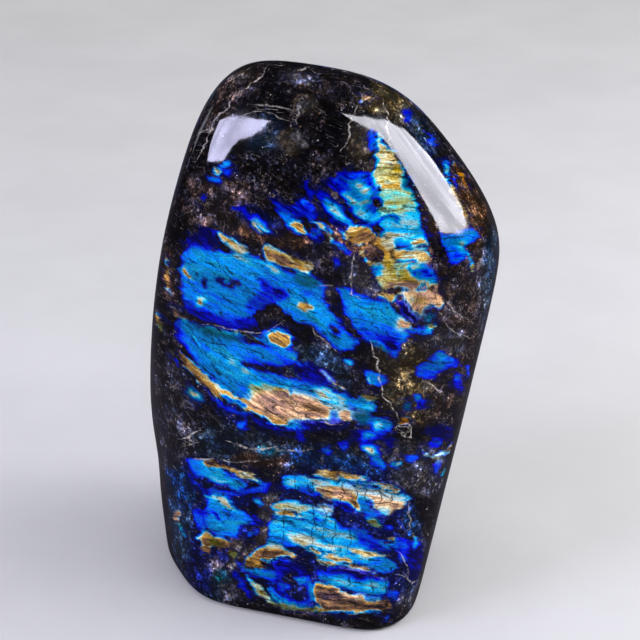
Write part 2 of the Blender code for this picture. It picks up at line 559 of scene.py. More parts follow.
# Top right: thin strips of blue and gold beside the lamp's reflection.
flash("crown_chip", "ultra", (403, 110), (410, 110), (411, 121), (404, 120))
tinge("crown_gold", "moss", (358, 94), (376, 93), (390, 104), (378, 112), (364, 107), soft=5)
streak("crown_cream", "peach", 3, (360, 102), (365, 98), (374, 99))
flash("strip_azure", "azure", (423, 127), (433, 138), (437, 145), (432, 144), (427, 137))
flash("strip_foam", "aqua", (443, 162), (448, 162), (451, 168), (449, 176), (445, 172))
flash("strip_spot", "azure", (453, 180), (456, 180), (456, 185), (453, 184))
streak("crescent_fringe", "gold", 3, (432, 160), (448, 183), (455, 195), (462, 208), (467, 222))
flash("rim_amber", "amber", (452, 160), (464, 175), (468, 188), (463, 182), (457, 172))
flash("brow_strip", "cobalt", (368, 130), (374, 130), (375, 150), (369, 150))
flash("brow_strip_edge", "teal", (374, 145), (378, 145), (378, 172), (374, 172))
flash("brow_cream", "cream", (376, 133), (381, 133), (384, 140), (388, 150), (380, 165), (377, 160))

# Upper left chips.
flash("left_chip_aqua", "aqua", (221, 161), (230, 161), (230, 168), (221, 168))
flash("left_chip_azure", "azure", (208, 177), (214, 176), (222, 178), (221, 182), (212, 182))
flash("left_chip_cobalt", "cobalt", (225, 170), (231, 172), (230, 176), (226, 175))
flash("left_chip_cream", "cream", (213, 168), (219, 168), (221, 172), (219, 176), (214, 174))
flash("left_chip_low", "ultra", (201, 196), (206, 196), (206, 201), (201, 201))
flash("left_chip_dim", "night", (200, 228), (215, 228), (214, 238), (201, 238))

# Under the finer flashes the rock is stained too: brown at the upper right, deep blue at the foot.
tinge(
    "tan_field", "umber", (318, 222), (348, 224), (376, 226), (392, 236), (428, 246), (430, 262),
    (440, 284), (440, 308), (418, 318), (398, 304), (374, 294), (366, 270), (350, 252),
    (330, 240), soft=4,
)
tinge("tan_field_haze", "slate", (352, 262), (376, 268), (384, 292), (360, 290), soft=5)
flash("tan_field_copper", "copper", (352, 228), (382, 236), (392, 262), (372, 262), (356, 246), soft=5)
flash("tan_field_tan", "straw", (374, 262), (394, 258), (398, 284), (384, 288), (376, 276), soft=5)
tinge(
    "foot_field_right", "navy", (284, 474), (320, 468), (396, 484), (412, 500), (404, 520),
    (414, 545), (408, 585), (388, 606), (330, 612), (276, 606), (258, 588), (262, 560),
    (276, 540), (276, 500), soft=5,
)
tinge(
    "foot_field_left", "navy", (182, 460), (215, 462), (262, 478), (270, 490), (258, 505),
    (262, 530), (246, 548), (226, 566), (212, 590), (196, 584), (190, 548), (192, 510), soft=5,
)
tinge(
    "arc_field", "navy", (200, 376), (232, 400), (262, 414), (300, 420), (344, 418), (340, 430),
    (290, 434), (250, 428), (216, 410), soft=5,
)
tinge("tongue_field", "navy", (236, 204), (262, 208), (282, 226), (276, 238), (250, 228), soft=5)

# The upper flashes, blue lobes between seams of dark rock, and the gold and aqua block.
flash(
    "left_tongue", "ultra", (229, 208), (243, 206), (250, 213), (258, 212), (264, 222), (276, 235),
    (262, 232), (249, 220), (243, 212), (235, 210),
)
flash("left_tongue_core", "azure", (252, 216), (262, 219), (271, 230), (262, 227), (253, 221))
flash("left_tongue_gold", "amber", (250, 222), (254, 221), (262, 232), (258, 233), (253, 228))
flash("left_tongue_cream", "cream", (258, 225), (266, 228), (270, 231), (267, 233), (262, 231))
flash(
    "first_lobe", "ultra", (272, 196), (285, 206), (300, 199), (307, 198), (315, 211), (318, 218),
    (300, 216), (286, 216), (280, 220), (276, 212),
)
flash("first_lobe_top", "sky", (302, 199), (310, 199), (311, 204), (303, 204))
flash("first_lobe_right", "cobalt", (308, 204), (316, 206), (317, 217), (309, 214))
flash(
    "first_lobe_azure", "azure", (278, 213), (286, 213), (292, 216), (306, 228), (307, 234),
    (296, 233), (289, 227), (282, 220),
)
flash("first_lobe_copper", "copper", (291, 223), (298, 220), (304, 226), (306, 234), (295, 229))
flash("lobe_band", "aqua", (308, 218), (316, 220), (330, 226), (326, 228), (318, 226), (310, 224))
flash("round_spot", "ultra", (307, 231), (312, 228), (320, 230), (322, 235), (319, 242), (309, 239))
flash("round_spot_core", "cobalt", (311, 233), (317, 232), (318, 238), (312, 238))
flash(
    "second_lobe", "ultra", (304, 183), (310, 180), (309, 188), (323, 192), (338, 205), (352, 222),
    (350, 226), (330, 222), (321, 204), (308, 196),
)
flash("second_lobe_core", "aqua", (325, 200), (338, 206), (348, 221), (334, 217), (328, 210))
flash("second_lobe_foam", "foam", (332, 208), (343, 215), (355, 226), (340, 219), (334, 215))
flash(
    "third_lobe", "ultra", (326, 181), (343, 172), (360, 170), (373, 172), (378, 178), (381, 205),
    (383, 215), (380, 222), (372, 226), (362, 222), (346, 206), (338, 193), (331, 189),
)
flash("third_lobe_top", "cobalt", (347, 175), (360, 173), (371, 177), (366, 181), (350, 180))
flash(
    "third_lobe_azure", "azure", (350, 182), (358, 180), (366, 183), (378, 196), (370, 200),
    (362, 200), (352, 192),
)
flash("third_lobe_foam", "foam", (356, 183), (362, 183), (372, 193), (366, 195), (359, 190))
flash("third_lobe_chip", "foam", (343, 194), (348, 193), (358, 202), (352, 204), (346, 200))
flash("third_lobe_olive", "olive", (346, 204), (362, 202), (370, 200), (371, 203), (350, 207))
flash(
    "third_lobe_aqua", "aqua", (353, 208), (362, 206), (370, 212), (379, 215), (379, 220),
    (372, 222), (362, 220), (355, 214),
)
flash("third_lobe_spot", "ultra", (367, 206), (374, 205), (375, 210), (369, 211))
dark("third_lobe_hole", (371, 197), (376, 196), (380, 202), (381, 208), (377, 208), (373, 203))
seam("gap_first_second", 5, (314, 194), (316, 203), (318, 210), (325, 220))
seam("gap_second_third", 4, (331, 190), (337, 200), (345, 209), (360, 223))
streak("under_third", "night", 3, (350, 208), (358, 220), (368, 226), (375, 232), (380, 238))
flash(
    "gold_block", "straw", (377, 150), (376, 165), (371, 178), (380, 190), (382, 200), (379, 220),
    (392, 230), (400, 234), (425, 240), (424, 225), (416, 198), (406, 175), (398, 160), (392, 150),
)
flash("gold_block_cream", "cream", (378, 152), (391, 153), (400, 166), (384, 166), (378, 162))
flash("gold_block_sage", "sage", (381, 190), (412, 190), (416, 203), (383, 203), soft=3)
flash("gold_block_olive", "olive", (390, 199), (412, 199), (413, 204), (391, 204))
flash("gold_block_line", "olive", (380, 167), (405, 166), (406, 170), (381, 170))
flash("gold_block_amber", "amber", (381, 185), (413, 185), (413, 188), (382, 189))
flash("gold_block_foam", "sage", (380, 206), (416, 205), (420, 215), (382, 215), soft=3)
flash("gold_block_aqua", "aqua", (381, 219), (398, 214), (420, 212), (426, 238), (390, 236), soft=3)
flash("gold_block_azure", "azure", (380, 231), (425, 230), (427, 246), (398, 246), soft=3)
flash("gold_block_teal", "teal", (403, 176), (411, 177), (412, 190), (404, 189))
streak("gold_block_arch", "night", 2.5, (377, 224), (384, 218), (393, 217), (400, 222))
flash("gold_block_low_foam", "foam", (384, 232), (400, 231), (424, 236), (425, 243), (400, 241), soft=3)
streak("gold_block_foot", "gold", 5, (410, 245), (420, 243), (430, 247))
flash("gold_block_root", "gold", (393, 250), (410, 248), (428, 250), (425, 260), (400, 261))
streak("gold_block_pale", "cream", 8, (398, 262), (412, 256), (427, 250))
seam("block_right_seam", 7, (404, 168), (414, 190), (421, 207), (425, 225), (431, 245), (433, 264))
flash(
    "slant_cream", "cream", (316, 223), (323, 226), (331, 236), (335, 244), (330, 241), (325, 233),
    (319, 228),
)
flash("slant_gold", "gold", (317, 224), (322, 225), (324, 229), (319, 229))
flash("slant_foam", "foam", (330, 228), (345, 231), (350, 238), (340, 236), (331, 233))
flash("slant_straw", "gold", (348, 226), (368, 226), (372, 236), (362, 240), (350, 236))
flash("slant_tan", "copper", (360, 232), (377, 234), (392, 248), (380, 252), (362, 243))
flash("slant_cream_end", "cream", (380, 238), (392, 236), (397, 248), (386, 250))
flash("slant_azure", "azure", (334, 240), (341, 241), (352, 254), (345, 254), (337, 246))
dark("slant_island", (333, 231), (342, 233), (343, 241), (334, 240))
dark("slant_hole", (341, 240), (352, 242), (353, 250), (345, 250))
dark("slant_pocket", (363, 243), (378, 247), (384, 258), (372, 262), (364, 254))
streak("pocket_rim", "gold", 4, (361, 243), (364, 255), (370, 263), (380, 268))
flash("lone_spot", "cobalt", (332, 259), (338, 259), (339, 265), (333, 266))

# The wide left band, the brightest blue, with gold on its upper edge and dark lenses.
flash("band_shadow", "night", (186, 236), (212, 237), (214, 250), (192, 252))
flash(
    "wide_band", "azure", (190, 246), (213, 250), (236, 255), (258, 256), (283, 270), (310, 274),
    (323, 284), (325, 298), (331, 310), (342, 325), (358, 342), (345, 352), (328, 342), (313, 326),
    (298, 323), (283, 312), (272, 300), (262, 302), (256, 315), (240, 322), (215, 316), (186, 303),
    (180, 275), (182, 258),
)
flash(
    "wide_band_sky", "sky", (192, 252), (222, 256), (250, 262), (262, 274), (240, 280), (214, 276),
    (190, 268), soft=5,
)
flash(
    "wide_band_right_sky", "sky", (278, 292), (300, 292), (320, 302), (334, 320), (346, 338),
    (326, 332), (306, 316), (288, 304), soft=5,
)
flash(
    "wide_band_teal", "teal", (296, 272), (312, 276), (320, 286), (306, 287), (294, 281), soft=3,
)
flash(
    "wide_band_ultra", "ultra", (256, 277), (275, 285), (292, 296), (280, 301), (262, 309),
    (250, 311), (245, 303), (249, 298), (262, 292), (261, 285), soft=3,
)
flash(
    "wide_band_low", "ultra", (184, 300), (205, 309), (225, 318), (252, 318), (258, 326),
    (235, 329), (200, 319), (188, 312), soft=2.5,
)
flash("wide_band_rim", "aqua", (212, 250), (238, 254), (268, 263), (256, 264), (230, 259), soft=2)
flash("wide_band_foam", "foam", (264, 264), (274, 266), (284, 272), (273, 272), soft=2)
flash("wide_band_tan", "copper", (197, 298), (202, 298), (202, 304), (198, 304))
flash("wide_band_spot", "gold", (299, 303), (306, 303), (313, 308), (306, 311), (300, 308), soft=2)
streak("wide_band_left", "amber", 4, (184, 266), (187, 274), (192, 280))
streak("wide_band_stroke", "foam", 3, (275, 301), (281, 308), (286, 313))
dark("band_lens_one", (216, 278), (222, 279), (222, 282), (216, 281))
dark("band_lens_two", (223, 284), (233, 286), (233, 289), (224, 287))
dark("band_lens_three", (203, 279), (207, 282), (206, 286), (203, 284))
dark("band_lens_four", (231, 280), (240, 282), (240, 285), (232, 284))
dark("band_hole", (330, 325), (338, 327), (341, 335), (333, 334))
flash(
    "band_cap", "cream", (215, 233), (222, 231), (238, 241), (250, 253), (236, 254), (221, 243),
)
flash("band_cap_core", "gold", (223, 235), (230, 236), (235, 242), (228, 241))
flash(
    "band_gold", "gold", (262, 245), (272, 248), (298, 259), (310, 269), (308, 274), (285, 267),
    (264, 258),
)
flash("band_gold_tan", "russet", (268, 251), (285, 258), (300, 265), (285, 265), (268, 259))
streak("band_gold_rim", "straw", 3, (262, 246), (276, 250), (296, 260), (309, 269))
flash("band_gold_tip", "cream", (304, 262), (311, 264), (311, 271), (305, 269))
streak("left_rim_tan", "umber", 5, (165, 258), (167, 272), (169, 286), (172, 296))
streak("left_rim_gold", "copper", 3, (166, 262), (168, 275), (170, 288))
streak("left_mauve", "mauve", 6, (171, 306), (177, 314), (182, 322), (186, 333))
streak("left_mauve_foam", "foam", 2, (174, 312), (180, 322), (185, 331))
flash("left_gold_spot", "gold", (153, 313), (159, 314), (159, 322), (154, 321))
flash("left_olive_spot", "olive", (158, 323), (163, 325), (162, 331), (158, 329))

# The second band, right of the dark vein.
flash(
    "second_band", "azure", (336, 286), (353, 291), (372, 299), (392, 304), (402, 325), (412, 333),
    (401, 345), (396, 358), (380, 347), (362, 338), (349, 323), (343, 303),
)
flash(
    "second_band_low", "cobalt", (360, 329), (385, 329), (400, 336), (399, 350), (393, 357),
    (380, 343), (366, 337), soft=4,
)
flash("second_band_core", "ultra", (376, 338), (388, 336), (397, 345), (390, 351), soft=3)
flash(
    "second_band_sky", "sky", (346, 294), (372, 304), (396, 310), (404, 322), (380, 322),
    (356, 312), soft=5,
)
flash("second_band_peach", "peach", (397, 320), (404, 319), (410, 325), (404, 330), (398, 327))
flash("second_band_gold", "gold", (377, 294), (395, 295), (399, 300), (393, 303), (383, 299))
streak("second_band_tail", "azure", 7, (402, 333), (416, 331), (433, 333))
streak("second_band_olive", "olive", 4, (370, 341), (378, 346), (390, 354))
flash("second_band_green", "straw", (424, 323), (434, 324), (434, 331), (426, 330))
flash("haze_chip", "azure", (371, 270), (378, 264), (383, 268), (378, 274))
seam("dark_vein", 8, (322, 276), (329, 292), (336, 308), (345, 322), (354, 334), (364, 345))
flash(
    "right_cream_band", "straw", (393, 264), (404, 262), (425, 264), (430, 276), (436, 283),
    (412, 284), (395, 279),
)
flash("right_cream_sage", "sage", (392, 264), (403, 264), (404, 276), (394, 276))
flash(
    "right_ultra", "ultra", (410, 267), (418, 270), (425, 266), (438, 273), (436, 280), (420, 279),
    (412, 274),
)
streak("right_ultra_rim", "foam", 2, (411, 266), (418, 268), (425, 264), (437, 272))
streak("right_mauve", "mauve", 8, (382, 288), (400, 284), (420, 286), (441, 289))
flash(
    "right_peach", "peach", (397, 293), (425, 291), (439, 294), (442, 301), (439, 309), (430, 306),
    (424, 309), (420, 316), (410, 303),
)
flash("right_peach_gold", "cream", (404, 296), (420, 297), (427, 302), (414, 302), soft=3)
flash("right_navy", "night", (396, 299), (405, 303), (418, 318), (415, 323), (404, 316))
streak("right_teal", "teal", 6, (416, 317), (428, 315), (442, 317))
flash(
    "below_crescent", "azure", (440, 233), (452, 234), (470, 228), (479, 236), (468, 246),
    (467, 254), (458, 265), (448, 258), (443, 245),
)
flash("below_crescent_cobalt", "cobalt", (444, 242), (456, 246), (458, 262), (449, 257), soft=3)
flash("below_crescent_foam", "foam", (461, 242), (467, 242), (468, 247), (462, 247))
streak("below_crescent_gold", "straw", 3, (467, 250), (471, 262), (473, 272))
flash(
    "right_cobalt", "cobalt", (418, 366), (430, 359), (440, 350), (453, 357), (461, 366),
    (444, 370), (430, 379), (418, 377),
)
flash("right_cobalt_core", "azure", (438, 354), (448, 353), (453, 361), (442, 365), soft=3)
flash("right_cobalt_low", "cobalt", (455, 375), (462, 375), (462, 388), (456, 387))
flash("right_cobalt_edge", "azure", (467, 366), (470, 366), (469, 376), (466, 376))
flash("right_chip_teal", "teal", (404, 402), (412, 402), (412, 408), (404, 408))
flash("right_chip_azure", "azure", (413, 394), (422, 394), (422, 402), (414, 402))
flash("right_chip_ultra", "ultra", (418, 402), (425, 402), (425, 408), (418, 408))
flash("right_chip_haze", "night", (433, 426), (452, 428), (450, 440), (434, 440), soft=3)
flash("right_chip_dim", "cobalt", (430, 441), (440, 440), (440, 447), (431, 447))
dark("pit", (396, 426), (404, 422), (413, 428), (411, 439), (400, 440), (395, 434))
flash("pit_orange", "amber", (398, 420), (408, 419), (407, 426), (399, 426))
streak("low_right_peach", "peach", 5, (421, 449), (430, 456), (440, 456), (448, 449), (454, 442))
flash("low_right_azure", "azure", (407, 456), (417, 456), (418, 461), (408, 463))
flash("low_right_spot", "azure", (391, 461), (396, 461), (396, 466), (391, 466))
flash("low_right_gold", "gold", (396, 461), (401, 461), (400, 466), (396, 466))
streak("low_right_foam", "sage", 3, (439, 476), (446, 470), (451, 465))
flash("low_right_cobalt", "cobalt", (434, 462), (441, 462), (439, 472), (434, 471))

# The long arc below the left band, blue over a copper stroke.
flash("arc_left", "ultra", (173, 324), (184, 322), (200, 345), (200, 358), (184, 348), soft=3)
flash(
    "long_arc", "azure", (184, 320), (205, 328), (230, 337), (262, 345), (290, 348), (297, 356),
    (288, 366), (262, 365), (282, 376), (300, 380), (330, 388), (355, 398), (361, 405), (340, 409),
    (300, 398), (262, 402), (238, 396), (212, 378), (192, 358), (182, 338),
)
flash("arc_sky", "sky", (206, 345), (232, 350), (256, 376), (240, 382), (216, 366), soft=5)
flash("arc_teal", "teal", (186, 320), (205, 325), (245, 338), (236, 342), (205, 333), soft=2.5)
flash("arc_blob", "azure", (262, 330), (276, 327), (290, 333), (292, 346), (272, 348), (262, 342))
flash("arc_blob_copper", "copper", (268, 334), (284, 332), (292, 340), (284, 348), (270, 342), soft=2.5)
streak("arc_olive", "straw", 2.5, (205, 325), (228, 333), (245, 336), (264, 342))
streak("arc_left_cream", "cream", 1.6, (189, 332), (196, 340), (202, 347))
flash("arc_inner", "cobalt", (240, 356), (262, 360), (288, 361), (288, 366), (262, 366), soft=3)
dark(
    "arc_lens", (243, 363), (262, 365), (284, 366), (300, 368), (304, 374), (285, 374), (265, 371),
    (250, 368),
)
flash("arc_foam_spot", "foam", (228, 359), (234, 359), (234, 364), (229, 364))
flash("arc_foam_streak", "foam", (240, 366), (246, 368), (249, 375), (242, 373))
flash("arc_sage", "sage", (250, 384), (275, 385), (290, 390), (275, 402), (255, 400), soft=4)
streak("arc_under", "cobalt", 5, (198, 365), (222, 385), (247, 398))
flash(
    "copper_stroke", "copper", (180, 351), (198, 367), (214, 381), (235, 394), (262, 404),
    (290, 405), (292, 427), (268, 420), (240, 407), (220, 398), (206, 388), (184, 364),
)
streak("copper_stroke_cream", "cream", 3, (181, 352), (190, 362), (204, 377), (222, 390))
flash("copper_stroke_gold", "gold", (226, 392), (246, 400), (258, 406), (244, 405), soft=2)
flash("copper_stroke_sage", "cream", (268, 406), (286, 406), (290, 418), (276, 418), soft=3)
streak("copper_stroke_line", "night", 3, (220, 394), (234, 401), (248, 408))
streak("copper_rim", "cobalt", 4, (203, 387), (220, 403), (236, 412), (254, 416))
streak("copper_rim_low", "ultra", 5, (252, 419), (272, 427), (292, 430))
flash(
    "peach_band", "peach", (246, 400), (262, 391), (292, 391), (315, 398), (345, 408), (362, 413),
    (350, 420), (318, 420), (292, 421), (270, 415), (252, 407), soft=5,
)
flash("peach_band_mauve", "mauve", (270, 392), (288, 392), (294, 397), (276, 398), soft=2)
flash("peach_band_left", "copper", (300, 402), (322, 408), (330, 416), (308, 412), soft=3)
flash("peach_band_foam", "foam", (316, 386), (332, 390), (346, 400), (344, 411), (322, 401), soft=3)
streak("peach_band_sky", "sky", 4, (289, 379), (291, 387), (291, 396))
flash("peach_band_azure", "azure", (290, 420), (306, 421), (304, 429), (291, 428))
streak("peach_band_night", "night", 7, (298, 423), (318, 425), (342, 424))
flash("peach_band_cobalt", "cobalt", (331, 412), (339, 413), (338, 419), (332, 419))
flash("arc_end_cyan", "aqua", (354, 403), (376, 404), (374, 412), (356, 412))
flash("arc_end_teal", "teal", (354, 413), (372, 413), (370, 425), (356, 424))
flash("arc_end_cream", "straw", (358, 396), (379, 397), (376, 401), (362, 401))
flash(
    "valley_night", "night", (296, 362), (310, 361), (328, 372), (333, 381), (320, 386), (300, 377),
)
streak("valley_swirl", "foam", 2, (289, 356), (299, 364), (308, 361))
streak("valley_pink", "peach", 2.5, (321, 371), (329, 379), (337, 385), (345, 390))
flash("valley_foam", "foam", (344, 360), (352, 361), (351, 366), (345, 366))
flash("valley_azure", "azure", (364, 371), (379, 373), (386, 381), (378, 387), (367, 382))
streak("valley_cream", "cream", 3, (365, 377), (369, 381), (373, 385))
flash("eye_ring", "teal", (186, 388), (192, 386), (203, 397), (201, 404), (190, 398))
flash("eye_gold", "gold", (191, 390), (196, 392), (199, 399), (194, 397))
flash("left_haze_spot", "cobalt", (173, 357), (177, 359), (179, 366), (175, 365))
flash("low_haze_azure", "azure", (238, 421), (246, 422), (245, 428), (239, 428))
flash("centre_foot_azure", "azure", (370, 419), (391, 419), (390, 432), (372, 432))
flash("centre_foot_foam", "foam", (374, 422), (382, 422), (382, 430), (375, 430), soft=2)

# Between the middle and the foot: small chips and a group of blue with gold cores.
tinge("dim_copper", "umber", (238, 454), (282, 453), (282, 464), (246, 464), soft=6)
tinge("dim_teal", "teal", (258, 448), (282, 449), (280, 456), (262, 456), soft=4)
flash("spot_one", "ultra", (296, 433), (304, 434), (302, 441), (297, 440))
flash("spot_two", "cobalt", (320, 447), (331, 447), (329, 454), (321, 453))
flash("spot_three", "cobalt", (341, 443), (349, 443), (348, 448), (342, 448))
flash("spot_four", "ultra", (385, 440), (392, 438), (395, 446), (388, 447))
flash(
    "group_top", "ultra", (354, 437), (360, 431), (376, 430), (387, 432), (384, 438), (370, 442),
    (360, 442),
)
flash("group_top_core", "aqua", (362, 434), (372, 433), (375, 436), (364, 438))
flash(
    "group_middle", "cobalt", (359, 446), (366, 442), (375, 444), (383, 456), (380, 460), (364, 453),
)
flash("group_middle_core", "foam", (364, 447), (371, 446), (377, 452), (374, 456), (366, 451))
flash("group_middle_gold", "gold", (367, 448), (372, 448), (374, 453), (369, 452))
flash("group_low", "azure", (370, 457), (379, 454), (387, 466), (384, 470), (372, 463))

# The lower left band and the chips under it.
flash(
    "low_left_band", "azure", (188, 460), (200, 458), (212, 464), (230, 474), (246, 484),
    (242, 489), (222, 485), (204, 478), (192, 470),
)
flash("low_left_sky", "sky", (198, 463), (214, 469), (232, 478), (240, 485), (224, 481), (206, 474))
streak("low_left_brown", "russet", 6, (200, 462), (212, 464), (222, 469))
streak("low_left_gold", "gold", 6, (216, 466), (232, 470), (250, 476), (262, 483))
streak("low_left_cream", "cream", 5, (234, 472), (250, 477), (264, 486))
streak("low_left_foam", "foam", 4, (204, 477), (218, 481), (238, 488))
dark("low_left_hole", (204, 483), (222, 487), (232, 491), (226, 494), (210, 489))
streak("low_left_line", "cobalt", 4, (188, 474), (197, 483), (208, 491))
flash(
    "low_left_step", "cobalt", (208, 489), (219, 488), (235, 492), (251, 488), (271, 484),
    (264, 492), (245, 494), (226, 498), (211, 494), soft=3,
)
flash(
    "low_block", "azure", (209, 499), (224, 503), (240, 511), (252, 519), (263, 526), (256, 534),
    (240, 540), (222, 535), (206, 528), (203, 516),
)
flash("low_block_sky", "sky", (211, 506), (230, 511), (249, 521), (246, 531), (228, 531), (211, 522))
flash("low_block_left", "cobalt", (191, 511), (200, 511), (205, 522), (203, 531), (194, 524))
streak("low_block_right", "ultra", 6, (248, 512), (258, 524), (262, 532), (254, 542))
streak("low_block_foam", "foam", 8, (206, 496), (222, 501), (242, 513))
streak("low_block_cream", "cream", 4, (208, 496), (222, 501), (238, 510))
streak("low_block_streak", "night", 3, (210, 511), (218, 518), (224, 525))
dark("low_block_hole", (240, 527), (252, 524), (260, 527), (250, 530))
dark("low_block_hole_two", (236, 534), (243, 531), (247, 536), (240, 538))
flash(
    "low_block_copper", "copper", (197, 537), (206, 531), (213, 536), (224, 537), (231, 544),
    (225, 549), (215, 546), (209, 553), (203, 547), soft=6,
)
flash("low_block_olive", "olive", (206, 538), (216, 538), (222, 546), (210, 546), soft=3)
tinge("low_tan", "taupe", (229, 543), (243, 543), (241, 549), (231, 549), soft=4)
flash("low_olive", "olive", (228, 551), (237, 552), (235, 558), (229, 557))
tinge("low_sage", "taupe", (208, 558), (222, 562), (221, 580), (209, 578), soft=5, strength=0.5)
tinge("low_teal", "teal", (215, 572), (229, 573), (228, 586), (218, 585), soft=5)
tinge("low_grey", "slate", (220, 584), (236, 585), (236, 600), (223, 600), soft=5)
tinge("low_haze", "marine", (168, 470), (190, 476), (194, 506), (174, 506), soft=7)
flash("rim_chip_cream", "sage", (165, 512), (170, 513), (170, 525), (166, 524))
flash("rim_chip_peach", "peach", (171, 518), (176, 512), (181, 512), (178, 519))
streak("rim_chip_line", "slate", 2, (170, 526), (173, 535), (174, 543))
flash("rim_chip_gold", "gold", (172, 542), (177, 543), (176, 549), (173, 549))
flash("rim_chip_sage", "sage", (179, 524), (183, 528), (185, 538), (181, 534))
streak("river_rim_left", "cobalt", 4, (262, 530), (255, 545), (243, 556), (232, 570))
streak("river_rim_right", "ultra", 4, (274, 520), (270, 536), (262, 549))
tinge(
    "river_grey", "taupe", (262, 496), (276, 498), (274, 522), (264, 544), (240, 562), (230, 574),
    (228, 564), (246, 548), (258, 534), soft=4, strength=0.8,
)
seam("river", 12, (268, 496), (266, 520), (261, 540), (248, 552), (238, 562), (228, 572))
flash("river_chip", "foam", (254, 500), (260, 500), (265, 505), (258, 505))
streak("river_fork", "ultra", 6, (233, 570), (240, 581), (246, 590), (249, 599))
streak("river_fork_rim", "aqua", 2, (237, 565), (243, 572), (249, 581), (256, 591))

# The lower band: gold along its top, foam and aqua under it, peach in the middle.
flash(
    "low_band_aqua", "aqua", (284, 476), (298, 474), (312, 478), (340, 486), (376, 494), (404, 502),
    (380, 505), (340, 497), (310, 492), (286, 488),
)
flash("low_band_cobalt", "cobalt", (300, 487), (315, 488), (316, 495), (302, 494))
flash(
    "low_band_foam", "foam", (304, 477), (330, 480), (356, 486), (380, 490), (404, 494), (409, 500),
    (392, 502), (360, 496), (330, 489), (306, 484), soft=3,
)
flash(
    "low_band_pearl", "pearl", (344, 484), (368, 488), (392, 494), (407, 499), (388, 500),
    (362, 494), (346, 490), soft=3,
)
flash(
    "low_band_gold", "gold", (318, 470), (340, 472), (372, 480), (398, 490), (390, 492),
    (362, 483), (338, 477), (320, 475), soft=3,
)
streak("low_band_cream", "cream", 4, (312, 475), (334, 478), (358, 484), (384, 492))
streak("low_band_amber", "amber", 3, (346, 476), (366, 480), (384, 486))
flash("low_band_mauve", "mauve", (314, 488), (323, 487), (329, 493), (325, 498))
flash(
    "low_band_copper", "copper", (325, 490), (340, 489), (356, 496), (364, 508), (356, 513),
    (344, 505), (330, 499), soft=3,
)
flash("low_band_copper_peach", "peach", (326, 490), (342, 490), (352, 497), (336, 497), soft=3)
flash("low_band_lens", "night", (334, 500), (346, 502), (354, 512), (342, 510))
flash(
    "low_band_peach", "peach", (370, 497), (388, 499), (406, 503), (398, 509), (384, 513),
    (374, 507), soft=3,
)
flash("low_band_peach_foam", "foam", (378, 508), (390, 508), (387, 515), (380, 515))
flash("low_band_wedge", "azure", (358, 501), (367, 501), (378, 511), (382, 517), (366, 516), soft=3)

# The lowest wide band, aqua to azure, with cross cracks.
flash(
    "foot_band", "azure", (272, 516), (300, 518), (330, 523), (358, 530), (385, 542), (393, 550),
    (372, 549), (350, 553), (326, 549), (300, 547), (280, 544), (267, 543), (269, 530),
)
flash(
    "foot_band_aqua", "aqua", (272, 519), (300, 520), (330, 527), (356, 537), (350, 546),
    (318, 543), (290, 537), (270, 533), soft=4,
)
flash("foot_band_cobalt", "cobalt", (350, 527), (368, 533), (388, 545), (364, 543), soft=4)
flash(
    "foot_band_foam", "foam", (273, 502), (292, 500), (314, 505), (318, 512), (296, 512),
    (276, 510), soft=3,
)
flash("foot_band_cream", "straw", (276, 504), (292, 504), (308, 507), (306, 511), (277, 508), soft=2.5)
flash(
    "foot_band_gold", "gold", (274, 512), (292, 512), (313, 515), (314, 520), (294, 518),
    (277, 516), soft=2.5,
)
flash("foot_band_chip", "pearl", (316, 506), (326, 505), (335, 511), (329, 514), (318, 512), soft=3)
flash("foot_band_chip_two", "foam", (315, 513), (326, 516), (340, 524), (332, 527), (319, 520), soft=3)
streak("foot_band_line", "teal", 2.5, (283, 519), (300, 527), (320, 537), (346, 546))
flash(
    "foot_band_low_foam", "foam", (285, 531), (306, 537), (330, 543), (354, 549), (348, 555),
    (322, 550), (300, 544), (287, 538), soft=3,
)
streak("foot_band_low_cream", "cream", 6, (290, 536), (312, 543), (338, 550))
flash("foot_band_ultra", "ultra", (358, 535), (376, 541), (393, 549), (372, 550), soft=3)
flash("foot_band_olive", "olive", (365, 519), (375, 518), (383, 527), (372, 526))
streak("foot_band_end", "azure", 4, (380, 526), (388, 526), (395, 529))
flash("foot_band_end_gold", "gold", (380, 539), (396, 539), (399, 546), (386, 545))
dark("foot_band_end_hole", (384, 541), (394, 541), (395, 544), (386, 544))

# The foot: copper and gold streaks over blue, down to the rounded rim.
flash(
    "foot_copper", "copper", (296, 542), (325, 551), (352, 559), (348, 565), (325, 560), (308, 551),
)
streak("foot_copper_gold", "cream", 4, (316, 559), (326, 563), (337, 568))
flash("foot_foam", "aqua", (338, 550), (352, 551), (380, 558), (392, 566), (368, 566), (348, 559))
flash("foot_gold", "gold", (352, 549), (366, 549), (384, 555), (374, 559), (358, 556), soft=3)
flash("foot_azure", "azure", (372, 560), (390, 558), (397, 565), (392, 574), (368, 570))
streak("foot_pale_vein", "peach", 3, (340, 566), (356, 567), (372, 572), (386, 579))
streak("foot_night", "night", 7, (328, 569), (350, 571), (370, 577), (388, 581))
flash(
    "foot_lens", "copper", (244, 560), (256, 551), (268, 543), (284, 547), (297, 552), (293, 558),
    (282, 556), (270, 563), (256, 567), (247, 565),
)
flash("foot_lens_cream", "cream", (262, 547), (276, 544), (284, 548), (270, 550), soft=2)
flash("foot_lens_gold", "gold", (245, 560), (254, 558), (262, 563), (254, 567), soft=2)
flash(
    "foot_lens_azure", "azure", (236, 563), (250, 569), (266, 570), (282, 577), (270, 580),
    (247, 572),
)
flash("foot_lens_chip", "aqua", (278, 567), (284, 565), (290, 571), (283, 575))
dark("foot_lens_hole", (262, 563), (270, 562), (281, 570), (274, 572), (265, 569))
flash("foot_ultra", "ultra", (276, 562), (300, 566), (312, 580), (312, 604), (292, 604), (278, 588))
dark("foot_ultra_hole", (284, 574), (292, 570), (303, 577), (306, 596), (297, 601), (286, 590))
